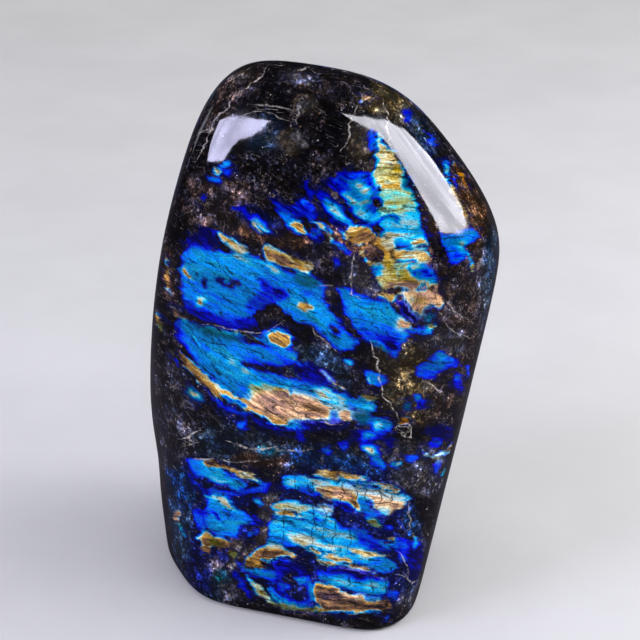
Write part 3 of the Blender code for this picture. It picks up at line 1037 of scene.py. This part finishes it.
flash("foot_ultra_azure", "azure", (281, 585), (286, 583), (290, 587), (285, 590))
flash("foot_ultra_aqua", "aqua", (295, 578), (306, 578), (305, 584), (297, 584))
streak("foot_strip", "azure", 4, (270, 583), (278, 595), (285, 602), (293, 609))
flash("foot_strip_sage", "sage", (265, 582), (274, 593), (287, 607), (274, 600))
flash("foot_strip_olive", "straw", (245, 575), (260, 587), (273, 603), (256, 592))
flash("foot_low_brown", "olive", (268, 602), (290, 604), (330, 608), (320, 613), (275, 610), soft=3)
flash(
    "foot_last_band", "azure", (316, 571), (340, 573), (364, 578), (387, 580), (388, 590),
    (380, 596), (350, 591), (325, 583),
)
flash(
    "foot_last_aqua", "aqua", (330, 576), (352, 580), (382, 583), (386, 591), (360, 591),
    (336, 584), soft=4,
)
flash(
    "foot_last_copper", "copper", (312, 582), (332, 585), (356, 596), (389, 602), (372, 610),
    (330, 611), (313, 600),
)
flash("foot_last_mauve", "mauve", (320, 592), (338, 592), (342, 602), (324, 602), soft=5)
flash("foot_last_umber", "russet", (322, 600), (352, 598), (388, 603), (376, 612), (324, 612), soft=5)
streak("foot_last_gold", "gold", 3, (313, 583), (328, 586), (344, 592))
streak("foot_last_peach", "peach", 5, (338, 591), (358, 597), (384, 601))
streak("foot_last_spike", "azure", 4, (309, 578), (312, 590), (311, 602))
flash("foot_last_chip", "aqua", (364, 596), (379, 597), (378, 601), (366, 601))
flash("foot_right_azure", "cobalt", (397, 539), (412, 541), (411, 561), (399, 560), soft=2.5)
flash("foot_right_navy", "night", (409, 544), (425, 546), (424, 580), (410, 578), soft=4)
flash("foot_right_dim", "cobalt", (388, 590), (400, 590), (399, 598), (389, 598), soft=2.5)
flash("foot_right_olive", "straw", (415, 533), (418, 540), (415, 548), (413, 540))
flash("foot_rim_aqua", "aqua", (380, 621), (388, 617), (391, 620), (385, 625))
tinge("foot_left_blue", "navy", (184, 562), (208, 568), (214, 592), (192, 590), soft=6)

# Healed cracks, as pale hairlines.
vein("crown_one", 0.8, 1.4, (266, 69), (255, 81), (249, 84), (242, 95))
vein("crown_two", 0.7, 1.3, (237, 91), (229, 106), (217, 116), (213, 125), (203, 147), (197, 160))
vein("crown_three", 0.6, 1.2, (200, 134), (209, 129))
vein("crown_four", 0.7, 1.4, (296, 71), (304, 69), (310, 67))
vein("crown_dots", 0.5, 1.2, (255, 104), (268, 105), (280, 108), (295, 111))
vein("crown_five", 0.6, 1.2, (303, 100), (300, 108), (296, 122))
vein("brow_one", 0.6, 1.3, (362, 98), (353, 118), (350, 130), (347, 140), (343, 150))
vein("brow_two", 0.9, 1.6, (384, 103), (387, 115), (388, 130), (391, 148))
vein("brow_three", 0.5, 1.1, (230, 118), (262, 112), (290, 122))
vein("haze", 0.8, 1.4, (355, 253), (352, 270), (351, 290), (356, 296))
vein("valley_long", 1.0, 1.5, (371, 343), (375, 357), (378, 372), (383, 393), (391, 405), (397, 416))
vein("band_across", 0.6, 1.1, (312, 328), (322, 339), (336, 350))
vein("band_bottom", 0.5, 1.1, (322, 285), (336, 287))
vein("right_hook", 0.9, 1.6, (425, 383), (436, 387), (441, 393))
vein("peach_foot", 0.8, 1.5, (318, 416), (330, 423), (338, 425))
vein("left_stroke", 0.8, 1.8, (182, 439), (190, 437), (197, 431))
vein("left_stroke_two", 0.6, 1.4, (187, 445), (196, 442))
vein("low_long", 0.8, 1.6, (230, 442), (242, 446), (257, 449), (268, 449), (283, 445))
vein("low_level", 0.6, 1.2, (279, 451), (308, 451))
vein("low_left", 0.8, 2.2, (196, 458), (209, 460))
vein("low_left_two", 0.7, 1.5, (221, 460), (240, 462), (255, 461))
vein("band_shadow_line", 0.6, 1.2, (205, 323), (232, 330), (262, 333), (282, 322))
vein("right_rim", 0.6, 1.3, (446, 300), (456, 312), (470, 322))
vein("right_rim_two", 0.5, 1.1, (440, 312), (452, 330), (470, 338))
vein("pit_rim", 0.8, 1.6, (397, 428), (404, 424), (411, 429), (410, 437), (403, 436), (398, 433))
vein("pit_fold", 0.6, 1.2, (400, 430), (404, 433), (408, 431))
vein("foot_right_one", 0.7, 1.3, (400, 553), (405, 562), (409, 575))
vein("foot_right_two", 0.6, 1.2, (397, 575), (405, 577), (412, 582), (424, 580))
vein("foot_right_three", 0.5, 1.2, (408, 500), (410, 520), (404, 534))

# Thin dark partings that cut the bright bands.
crack("band_main", 1.6, (213, 255), (220, 265), (226, 273), (233, 281), (243, 284))
crack("band_top", 1.0, (213, 255), (238, 257), (255, 262), (270, 270))
crack("band_two", 1.0, (238, 262), (250, 272), (268, 276), (292, 284), (322, 300))
crack("band_three", 0.9, (190, 288), (212, 296), (240, 302))
crack("band_four", 1.0, (288, 300), (306, 312), (322, 326), (338, 344))
crack("second_one", 1.0, (346, 300), (362, 306), (382, 312), (398, 326))
crack("second_two", 0.9, (350, 318), (370, 322), (388, 326))
crack("arc_one", 1.0, (198, 340), (216, 352), (240, 360))
crack("arc_two", 1.0, (210, 362), (232, 380), (262, 390), (300, 392))
crack("arc_three", 0.9, (256, 374), (280, 384), (312, 390), (340, 400))
crack("peach_one", 1.2, (283, 398), (296, 412), (302, 420))
crack("peach_two", 1.0, (246, 401), (262, 410), (286, 418))
crack("low_band_one", 1.2, (318, 478), (344, 481), (372, 487), (402, 496))
crack("low_band_two", 1.0, (334, 474), (362, 481), (392, 490))
crack("foot_band_one", 1.2, (272, 517), (300, 520), (330, 529), (356, 538), (388, 549))
crack("foot_band_two", 1.0, (268, 531), (290, 531), (314, 539))
crack("foot_last_one", 1.0, (330, 575), (352, 581), (384, 589))
crack("arc_four", 1.0, (186, 330), (204, 340), (232, 346), (262, 352))
crack("second_three", 0.9, (344, 292), (362, 298), (384, 302))
crack("block_one", 1.0, (386, 234), (405, 238), (424, 242))
crack("block_two", 0.9, (390, 226), (410, 229), (425, 232))
# Cracks across the low bands, each with its column, top row and bottom row.
CROSS_CRACK_WIDTH = 1.5
CROSS_CRACKS = {
    283: (505, 541), 294: (474, 500), 306: (474, 502), 312: (482, 548), 323: (505, 546),
    334: (508, 546), 341: (478, 505), 349: (524, 552), 355: (480, 512), 366: (474, 504),
    378: (484, 510), 391: (486, 508), 347: (572, 592), 371: (578, 600), 384: (579, 600),
}
for column, (top, bottom) in CROSS_CRACKS.items():
    middle_row = (top + bottom) / 2
    crack("cross_crack", CROSS_CRACK_WIDTH, (column, top), (column + 2, middle_row), (column - 1, bottom))

# Where the photo's side gives way to the rest, and under the foot, the colour dies away.
turn = (np.abs(facing_camera - FRONT_SHOWS) / TURN_FADE).clip(0, 1)
thinned = np.where(turned, BACK_THINNING, 0.0)
flash_edge -= thinned + (1 - turn) * FADED
foot = (surface[:, 2] / FOOT_FADE).clip(0, 1)
flash_edge -= (1 - foot) * FADED

# The layers run down to the right, steeper near the top, and bow a little in the middle.
LAYER_ROWS = (60, 180, 260, 330, 390, 470, 620)
LAYER_SLOPES = (0.25, 0.62, 0.38, 0.44, 0.38, 0.16, 0.12)
LAYER_BOWS = (0, 0, 0.0006, 0.0012, 0.0014, 0.0002, 0)
LONGEST_RUN = 170
BLOCK_SLOPE = 0.05
BLOCK_COLUMNS = (350, 376)
BLOCK_ROWS = (285, 315)
slope = np.interp(sight_y, LAYER_ROWS, LAYER_SLOPES)
# The gold block at the upper right is layered almost level.
in_block = np.interp(sight_x, BLOCK_COLUMNS, (0, 1)) * np.interp(sight_y, BLOCK_ROWS, (1, 0))
slope += (BLOCK_SLOPE - slope) * in_block
bow = np.interp(sight_y, LAYER_ROWS, LAYER_BOWS)
run = (sight_x - PHOTO_SIZE / 2).clip(-LONGEST_RUN, LONGEST_RUN)
across_layers = sight_y - slope * run + bow * run**2
layer_place = np.stack([sight_x, across_layers, np.zeros(len(surface))], axis=1)

for name, values in {
    "flash_edge": flash_edge, "flash_order": flash_order, "flash_light": flash_light,
    "flash_shift": flash_shift, "ground_tint": ground_tint, "veins": veins, "cracks": cracks,
    "layers": layer_place,
}.items():
    kind, socket = ("FLOAT", "value") if values.ndim == 1 else ("FLOAT_VECTOR", "vector")
    attribute = stone.data.attributes.new(name, kind, "POINT")
    attribute.data.foreach_set(socket, values.astype(np.float32).ravel())

# The polished surface. Its colour lies under a clear gloss: dark rock with flecks of brown and
# grey, flashes streaked along the crystal's layers, and hairlines over both. Noises in the rock
# have scales per metre, and noises along the layers have scales per photo pixel.
GLOSS_ROUGHNESS = (0.035, 0.10)
LABRADORITE_IOR = 1.56
RELIEF_STRENGTH = 0.25
RELIEF_HEIGHT = 0.0002
WARM_GRAIN = (1.22, 1.0, 0.72, 1)
COOL_GRAIN = (0.82, 0.95, 1.30, 1)
BROWN_FLECK = (0.26, 0.17, 0.09, 1)
BLUE_FLECK = (0.09, 0.12, 0.19, 1)
PALE_SPECK_AND_GLINT = (0.75, 0.72, 0.66, 1)
THREAD_COLOUR = (0.26, 0.22, 0.20, 1)
DASH_COLOUR = (0.001, 0.003, 0.04, 1)
HAIR_COLOUR = (0.001, 0.003, 0.02, 1)
GLOW_COLOUR = (0.0, 0.003, 0.08, 1)
CRACK_COLOUR = (0.002, 0.003, 0.015, 1)
VEIN_COLOUR = (0.58, 0.52, 0.47, 1)
# The rock's own light where no grain catches any.
LEAST_LIGHT = 0.18
# How far the layers' noise may carry a flash on towards gold.
MOST_UNEVEN = 0.09

finish = bpy.data.materials.new("polished_labradorite_finish")
finish.use_nodes = True
tree = finish.node_tree
gloss = tree.nodes["Principled BSDF"]


def node(kind, *values, **settings):
    """A node with its settings, and its inputs in order: a number, a socket, or None to leave it."""
    made = tree.nodes.new(kind)
    for setting, value in settings.items():
        setattr(made, setting, value)
    for socket, value in zip([s for s in made.inputs if s.enabled], values):
        if isinstance(value, bpy.types.NodeSocket):
            tree.links.new(value, socket)
        elif value is not None:
            socket.default_value = value
    return [s for s in made.outputs if s.enabled]


def sum_of(first, second):
    return node("ShaderNodeMath", first, second, operation="ADD")[0]


def product(first, second):
    return node("ShaderNodeMath", first, second, operation="MULTIPLY")[0]


def power(value, exponent):
    return node("ShaderNodeMath", value, exponent, operation="POWER")[0]


def swing(noise_value, amount):
    """A noise taken about its middle, so that it pushes both ways."""
    return product(sum_of(noise_value, -0.5), amount)


def by_share(factor, share):
    """A factor of which only a share counts: one where the share is nothing."""
    return sum_of(product(sum_of(factor, -1.0), share), 1.0)


def scaled(colour, amount):
    made = node("ShaderNodeVectorMath", colour, operation="SCALE")[0]
    if isinstance(amount, bpy.types.NodeSocket):
        tree.links.new(amount, made.node.inputs["Scale"])
    else:
        made.node.inputs["Scale"].default_value = amount
    return made


def ramp_between(value, low, high, start=0.0, end=1.0):
    """A smooth step from start to end as a value goes from low to high."""
    step = tree.nodes.new("ShaderNodeMapRange")
    step.interpolation_type = "SMOOTHSTEP"
    tree.links.new(value, step.inputs["Value"])
    for socket, number in zip(("From Min", "From Max", "To Min", "To Max"), (low, high, start, end)):
        if isinstance(number, bpy.types.NodeSocket):
            tree.links.new(number, step.inputs[socket])
        else:
            step.inputs[socket].default_value = number
    return step.outputs["Result"]


def blend(share, under, over, how="MIX"):
    """A colour laid over another by a share."""
    mix = tree.nodes.new("ShaderNodeMix")
    mix.data_type = "RGBA"
    mix.blend_type = how
    for socket, value in ((mix.inputs[0], share), (mix.inputs[6], under), (mix.inputs[7], over)):
        if isinstance(value, bpy.types.NodeSocket):
            tree.links.new(value, socket)
        else:
            socket.default_value = value
    return mix.outputs[2]


def stored(name, output="Vector"):
    """What the stone's points keep under a name."""
    attribute = tree.nodes.new("ShaderNodeAttribute")
    attribute.attribute_name = name
    return attribute.outputs[output]


def layer_noise(along, across, detail, roughness=0.6, seed=0.0, distortion=0.0):
    """Noise drawn out along the crystal's layers."""
    placed = tree.nodes.new("ShaderNodeMapping")
    placed.inputs["Location"].default_value = (seed, seed * 1.7, 0)
    placed.inputs["Scale"].default_value = (along, across, 0)
    tree.links.new(stored("layers"), placed.inputs["Vector"])
    grain = tree.nodes.new("ShaderNodeTexNoise")
    grain.noise_dimensions = "2D"
    tree.links.new(placed.outputs[0], grain.inputs["Vector"])
    grain.inputs["Scale"].default_value = 1.0
    grain.inputs["Detail"].default_value = detail
    grain.inputs["Roughness"].default_value = roughness
    grain.inputs["Distortion"].default_value = distortion
    return grain.outputs["Fac"]


place = node("ShaderNodeTexCoord")[3]


def rock_noise(scale, detail, roughness=0.6):
    """Noise through the rock."""
    grain = tree.nodes.new("ShaderNodeTexNoise")
    tree.links.new(place, grain.inputs["Vector"])
    grain.inputs["Scale"].default_value = scale
    grain.inputs["Detail"].default_value = detail
    grain.inputs["Roughness"].default_value = roughness
    return grain.outputs["Fac"]


def flecks(scale, size, chosen):
    """Small round spots, of which only some show."""
    cells = tree.nodes.new("ShaderNodeTexVoronoi")
    tree.links.new(place, cells.inputs["Vector"])
    cells.inputs["Scale"].default_value = scale
    dot = ramp_between(cells.outputs["Distance"], size * 0.5, size, 1.0, 0.0)
    pick = node("ShaderNodeSeparateColor", cells.outputs["Color"])
    shown = node("ShaderNodeMath", pick[0], chosen, operation="GREATER_THAN")[0]
    return product(dot, shown), pick[1]


def line_through(value, thickness):
    """Thin lines where a noise crosses its middle."""
    gap = node("ShaderNodeMath", sum_of(value, -0.5), operation="ABSOLUTE")[0]
    return ramp_between(gap, 0.0, thickness, 1.0, 0.0)


def facets(scale, wobble):
    """Crystal grains of random light and hue, with uneven edges."""
    offset = tree.nodes.new("ShaderNodeTexNoise")
    tree.links.new(place, offset.inputs["Vector"])
    offset.inputs["Scale"].default_value = scale * 1.6
    offset.inputs["Detail"].default_value = 3.0
    pushed = scaled(offset.outputs["Color"], wobble / scale)
    cells = tree.nodes.new("ShaderNodeTexVoronoi")
    tree.links.new(node("ShaderNodeVectorMath", place, pushed)[0], cells.inputs["Vector"])
    cells.inputs["Scale"].default_value = scale
    return node("ShaderNodeSeparateColor", cells.outputs["Color"])


# Dark rock: black between grains of brown, grey and blue, with pale specks of dust and painted glints.
patches = power(product(rock_noise(140, 6, 0.74), 1.80), 9.5)
grains = power(product(rock_noise(820, 4, 0.8), 2.0), 9.0)
coarse = facets(330, 1.3)
small = facets(900, 1.1)
coarse_shade = ramp_between(rock_noise(1300, 3, 0.7), 0.35, 0.65, 0.35, 1.5)
coarse_light = product(product(power(coarse[0], 2.5), coarse_shade), 1.5)
small_light = product(product(sum_of(power(small[0], 3.0), 0.12), grains), 1.7)
broad_dark = ramp_between(rock_noise(48, 3, 0.5), 0.40, 0.62, 0.45, 1.35)
rock_light = product(product(patches, broad_dark), sum_of(coarse_light, small_light))
rock_light = sum_of(product(rock_light, 1.15), LEAST_LIGHT)
hue_pick = sum_of(product(coarse[1], 0.6), product(small[1], 0.4))
hues = blend(ramp_between(hue_pick, 0.30, 0.70), WARM_GRAIN, COOL_GRAIN)
ground = blend(0.8, stored("ground_tint", "Color"), hues, "MULTIPLY")
rock = scaled(ground, rock_light)
small_fleck, fleck_warmth = flecks(700, 0.40, 0.80)
fleck_colour = blend(ramp_between(fleck_warmth, 0.3, 0.7), BROWN_FLECK, BLUE_FLECK)
fleck_share = product(small_fleck, ramp_between(grains, 0.3, 1.6))
rock = blend(product(fleck_share, ramp_between(patches, 0.5, 1.6)), rock, fleck_colour)
# Pale specks: dust, and painted glints of light on the polish.
speck_and_glint, fleck_size = flecks(1000, 0.25, 0.82)
speck_and_glint_share = product(speck_and_glint, product(fleck_size, ramp_between(patches, 0.5, 1.4)))
rock = blend(speck_and_glint_share, rock, PALE_SPECK_AND_GLINT)
threads = line_through(layer_noise(0.030, 0.085, 4, 0.62, 51.0, 0.8), 0.007)
threads = product(threads, ramp_between(rock_noise(230, 4, 0.7), 0.46, 0.62))
rock = blend(product(threads, 0.7), rock, THREAD_COLOUR)

# Flashes. Noise along the layers carries the colour to and fro along the order.
fine = layer_noise(0.040, 0.26, 5, 0.70, 0.0, 0.7)
broad = layer_noise(0.016, 0.060, 4, 0.6, 11.0, 0.9)
mottle = layer_noise(0.060, 0.11, 5, 0.66, 23.0, 0.5)
edge = stored("flash_edge", "Fac")
wander = sum_of(swing(mottle, 11.0), edge)
uneven = sum_of(sum_of(swing(fine, -0.50), swing(broad, -0.55)), swing(mottle, -0.40))
uneven = node("ShaderNodeMath", uneven, MOST_UNEVEN, operation="MINIMUM")[0]
order = stored("flash_order", "Fac")
warm = ramp_between(order, 0.60, 0.76)
uneven = product(uneven, ramp_between(warm, 0, 1, 1.0, 0.6))
# Towards a flash's rim the layers thin out, so its colour runs back down the order to deep blue.
# Where a gold one meets the rock it may turn brown and die out instead.
to_rim = ramp_between(wander, -2.5, 3.8)
plain_rim = product(warm, ramp_between(layer_noise(0.020, 0.060, 3, 0.5, 83.0), 0.42, 0.52))
thinning = by_share(to_rim, sum_of(product(plain_rim, -0.9), 0.95))
order_scale = tree.nodes.new("ShaderNodeValToRGB")
stops = order_scale.color_ramp.elements
for name in IN_ORDER[1:-1]:
    stops.new(TINTS[name][0])
for stop, name in zip(stops, IN_ORDER):
    stop.position = TINTS[name][0]
    stop.color = (*linear_colour(name), 1.0)
tree.links.new(product(sum_of(order, uneven), thinning), order_scale.inputs[0])
colour = scaled(order_scale.outputs[0], stored("flash_light", "Fac"))
colour = node("ShaderNodeVectorMath", colour, scaled(stored("flash_shift"), thinning))[0]
colour = node("ShaderNodeVectorMath", colour, (0.0, 0.0, 0.0), operation="MAXIMUM")[0]
# Dark islands and grit lie in the colour, and layers that are a little turned return less light.
islands = ramp_between(layer_noise(0.050, 0.15, 5, 0.72, 61.0, 0.6), 0.56, 0.64, 1.0, 0.22)
grit = ramp_between(rock_noise(1500, 4, 0.8), 0.34, 0.66, 0.60, 1.34)
dying = by_share(to_rim, product(plain_rim, 0.8))
fine_shade = ramp_between(fine, 0.36, 0.60, 0.58, 1.20)
broad_shade = ramp_between(broad, 0.34, 0.60, 0.66, 1.22)
warm_shade = ramp_between(layer_noise(0.018, 0.22, 4, 0.7, 97.0, 0.4), 0.38, 0.56, 0.66, 1.10)
turned_layers = product(product(fine_shade, broad_shade), blend(warm, (1, 1, 1, 1), warm_shade))
colour = scaled(colour, product(product(islands, grit), product(dying, turned_layers)))
dash = ramp_between(layer_noise(0.085, 0.42, 3, 0.7, 37.0, 0.4), 0.63, 0.72)
colour = blend(product(dash, 0.8), colour, DASH_COLOUR)
hair = line_through(layer_noise(0.022, 0.075, 4, 0.62, 71.0, 0.8), 0.0055)
hair = product(hair, ramp_between(rock_noise(150, 3, 0.6), 0.42, 0.58))
colour = blend(product(hair, 0.75), colour, HAIR_COLOUR)

# The flashes' frayed edges, with a deep blue glow that runs on into the rock round each.
fray = sum_of(swing(layer_noise(0.07, 0.26, 5, 0.72, 5.0), 9.0), edge)
shows = ramp_between(sum_of(swing(mottle, 7.0), fray), -1.6, 1.6)
glow_reach = sum_of(swing(broad, 16.0), wander)
glow = product(ramp_between(glow_reach, -7.0, 1.5), ramp_between(mottle, 0.42, 0.62))
rock = blend(product(glow, 0.65), rock, GLOW_COLOUR)
skin = blend(shows, rock, colour)


def line_mask(name, soft, jitter):
    """How much a stored hairline covers, from its signed distance, reach and width."""
    parts = node("ShaderNodeSeparateXYZ", stored(name))
    shaken = sum_of(parts[0], swing(rock_noise(900, 3, 0.7), jitter))
    gap = node("ShaderNodeMath", shaken, operation="ABSOLUTE")[0]
    half_width = product(parts[2], 0.5)
    cover = ramp_between(gap, sum_of(half_width, -soft), sum_of(half_width, soft), 1.0, 0.0)
    return product(cover, parts[1])


breaks = ramp_between(rock_noise(520, 4, 0.7), 0.40, 0.58)
parting = product(line_mask("cracks", 0.45, 1.6), ramp_between(breaks, 0, 1, 0.55, 1))
parting = product(parting, shows)
skin = blend(product(parting, 0.85), skin, CRACK_COLOUR)
vein_share = product(line_mask("veins", 0.5, 3.5), ramp_between(breaks, 0, 1, 0.12, 1))
skin = blend(product(vein_share, 0.9), skin, VEIN_COLOUR)
tree.links.new(skin, gloss.inputs["Base Color"])

haze = ramp_between(rock_noise(90, 4, 0.6), 0.35, 0.7, *GLOSS_ROUGHNESS)
tree.links.new(haze, gloss.inputs["Roughness"])
gloss.inputs["IOR"].default_value = LABRADORITE_IOR
relief = node("ShaderNodeBump")
bump = relief[0].node
bump.inputs["Strength"].default_value = RELIEF_STRENGTH
bump.inputs["Distance"].default_value = RELIEF_HEIGHT
height = sum_of(product(rock_noise(150, 3, 0.5), 0.5), product(parting, -0.4))
tree.links.new(height, bump.inputs["Height"])
tree.links.new(relief[0], gloss.inputs["Normal"])

stone.data.materials.clear()
stone.data.materials.append(finish)
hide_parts("stone")
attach(stone, "root")

# The table: a plain pale floor, big enough for every view.
FLOOR_SIZE = 6.0
FLOOR_DROP = 0.0002
FLOOR_COLOUR = (0.53, 0.525, 0.51, 1.0)
FLOOR_LIGHTER = 1.06
FLOOR_IN_GLOSS = (0.05, 0.045, 0.055, 1.0)
bpy.ops.object.select_all(action="DESELECT")
bpy.ops.mesh.primitive_plane_add(size=FLOOR_SIZE, location=(0, 0, -FLOOR_DROP))
floor = bpy.context.object
floor.name = "floor"
bpy.ops.object.transform_apply(location=True, rotation=True, scale=True)
floor_paint = bpy.data.materials.new("pale_floor")
floor_paint.use_nodes = True
tree = floor_paint.node_tree
floor_shader = tree.nodes["Principled BSDF"]
floor_shader.inputs["Roughness"].default_value = 0.9
floor_shader.inputs["Specular IOR Level"].default_value = 0.1
place = node("ShaderNodeTexCoord")[3]
floor_mottle = ramp_between(rock_noise(14, 5, 0.6), 0.3, 0.7)
lighter = (*(channel * FLOOR_LIGHTER for channel in FLOOR_COLOUR[:3]), 1.0)
floor_skin = blend(floor_mottle, FLOOR_COLOUR, lighter)
# The gloss sees a dark table, or a grey veil would lie over the dark rock.
floor_ray = tree.nodes.new("ShaderNodeLightPath")
floor_skin = blend(floor_ray.outputs["Is Glossy Ray"], floor_skin, FLOOR_IN_GLOSS)
tree.links.new(floor_skin, floor_shader.inputs["Base Color"])
floor.data.materials.append(floor_paint)

# The light. Two panels give the stone's two bright reflections, left of the brow and down the
# right shoulder. A broad fill in front lights the flashes without a reflection of its own.
LAMP_TARGET = Vector((0, 0, 0.15))
LILAC_WHITE = (0.82, 0.82, 1.0)
WHITE = (1.0, 1.0, 1.0)


def softbox(name, bearing, elevation, distance, width, height, power, colour=WHITE, in_gloss=True):
    """A rectangular lamp facing the stone. Angles are in degrees, sizes in metres, power in watts."""
    facing = bearing_direction(math.radians(bearing), math.radians(elevation))
    bpy.ops.object.light_add(type="AREA", location=LAMP_TARGET + facing * distance)
    lamp = bpy.context.object
    lamp.name = name
    side = Vector((0, 0, 1)).cross(facing).normalized()
    lamp.rotation_euler = Matrix((side, facing.cross(side), facing)).transposed().to_euler()
    lamp.data.shape = "RECTANGLE"
    lamp.data.size = width
    lamp.data.size_y = height
    lamp.data.energy = power
    lamp.data.color = colour
    lamp.visible_glossy = in_gloss
    lamp.visible_camera = False


softbox("front_fill", 10, 24, 1.6, 1.3, 1.0, 1.5, in_gloss=False)
softbox("left_rear_strip", -106, 10, 1.1, 0.20, 0.20, 0.15, LILAC_WHITE)
softbox("back_fill", 200, 20, 1.6, 1.3, 1.0, 3, in_gloss=False)

# The two panels that show as bright patches are glowing sheets bent round the stone, uneven in
# their light and out of the camera's sight. Their outlines are bearings and elevations in
# degrees, seen from the stone.
PANEL_DISTANCE = 1.04
PANEL_CUTS = 3
PANELS = {
    "left_panel": (
        (0.70, 0.69, 1.0), 16.5, (-67, 29), (-51, 34), (-36, 35), (-28, 35), (-28, 31),
        (-29, 28), (-33, 26), (-34, 21), (-34, 16), (-50, 16), (-57, 20), (-61, 23),
    ),
    "right_panel": (
        (0.90, 0.90, 1.0), 13.0, (25, 57), (53, 56), (81, 51), (115, 38), (135, 26),
        (141, 19), (121, 20), (111, 18), (96, 17), (84, 20), (88, 27), (95, 35), (91, 39), (85, 43),
        (57, 51),
    ),
}
for name, (panel_colour, panel_glow, *outline) in PANELS.items():
    bpy.ops.object.select_all(action="DESELECT")
    bpy.ops.mesh.primitive_circle_add(vertices=len(outline), fill_type="NGON")
    panel = bpy.context.object
    panel.name = name
    for corner, (bearing, elevation) in zip(panel.data.vertices, outline):
        corner.co = (bearing, elevation, 0)
    bpy.ops.object.mode_set(mode="EDIT")
    bpy.ops.mesh.select_all(action="SELECT")
    bpy.ops.mesh.quads_convert_to_tris(ngon_method="BEAUTY")
    bpy.ops.mesh.subdivide(number_cuts=PANEL_CUTS)
    bpy.ops.object.mode_set(mode="OBJECT")
    for corner in panel.data.vertices:
        way = bearing_direction(math.radians(corner.co.x), math.radians(corner.co.y))
        corner.co = LAMP_TARGET + way * PANEL_DISTANCE
    panel_paint = bpy.data.materials.new(name)
    panel_paint.use_nodes = True
    tree = panel_paint.node_tree
    tree.nodes.remove(tree.nodes["Principled BSDF"])
    place = node("ShaderNodeTexCoord")[3]
    glow_here = product(ramp_between(rock_noise(6.0, 3, 0.5), 0.35, 0.65, 0.75, 1.15), panel_glow)
    emission = node("ShaderNodeEmission", (*panel_colour, 1.0), glow_here)
    tree.links.new(emission[0], tree.nodes["Material Output"].inputs["Surface"])
    panel.data.materials.append(panel_paint)
    panel.visible_camera = False
    panel.visible_shadow = False

# The surroundings look pale to the camera, light the stone softly, and stay out of its gloss.
AIR_SEEN = (0.80, 0.81, 0.82, 1.0)
AIR_LIGHT = 0.78
AIR_IN_GLOSS = 0.015
world = bpy.data.worlds.new("studio_air")
bpy.context.scene.world = world
world.use_nodes = True
tree = world.node_tree
air = tree.nodes["Background"]
air.inputs["Color"].default_value = AIR_SEEN
ray = tree.nodes.new("ShaderNodeLightPath")
not_gloss = node("ShaderNodeMath", 1.0, ray.outputs["Is Glossy Ray"], operation="SUBTRACT")[0]
strength = sum_of(product(ray.outputs["Is Camera Ray"], 1 - AIR_LIGHT), AIR_LIGHT)
strength = sum_of(product(strength, not_gloss), AIR_IN_GLOSS)
tree.links.new(strength, air.inputs["Strength"])

bpy.context.scene.view_settings.view_transform = "Standard"
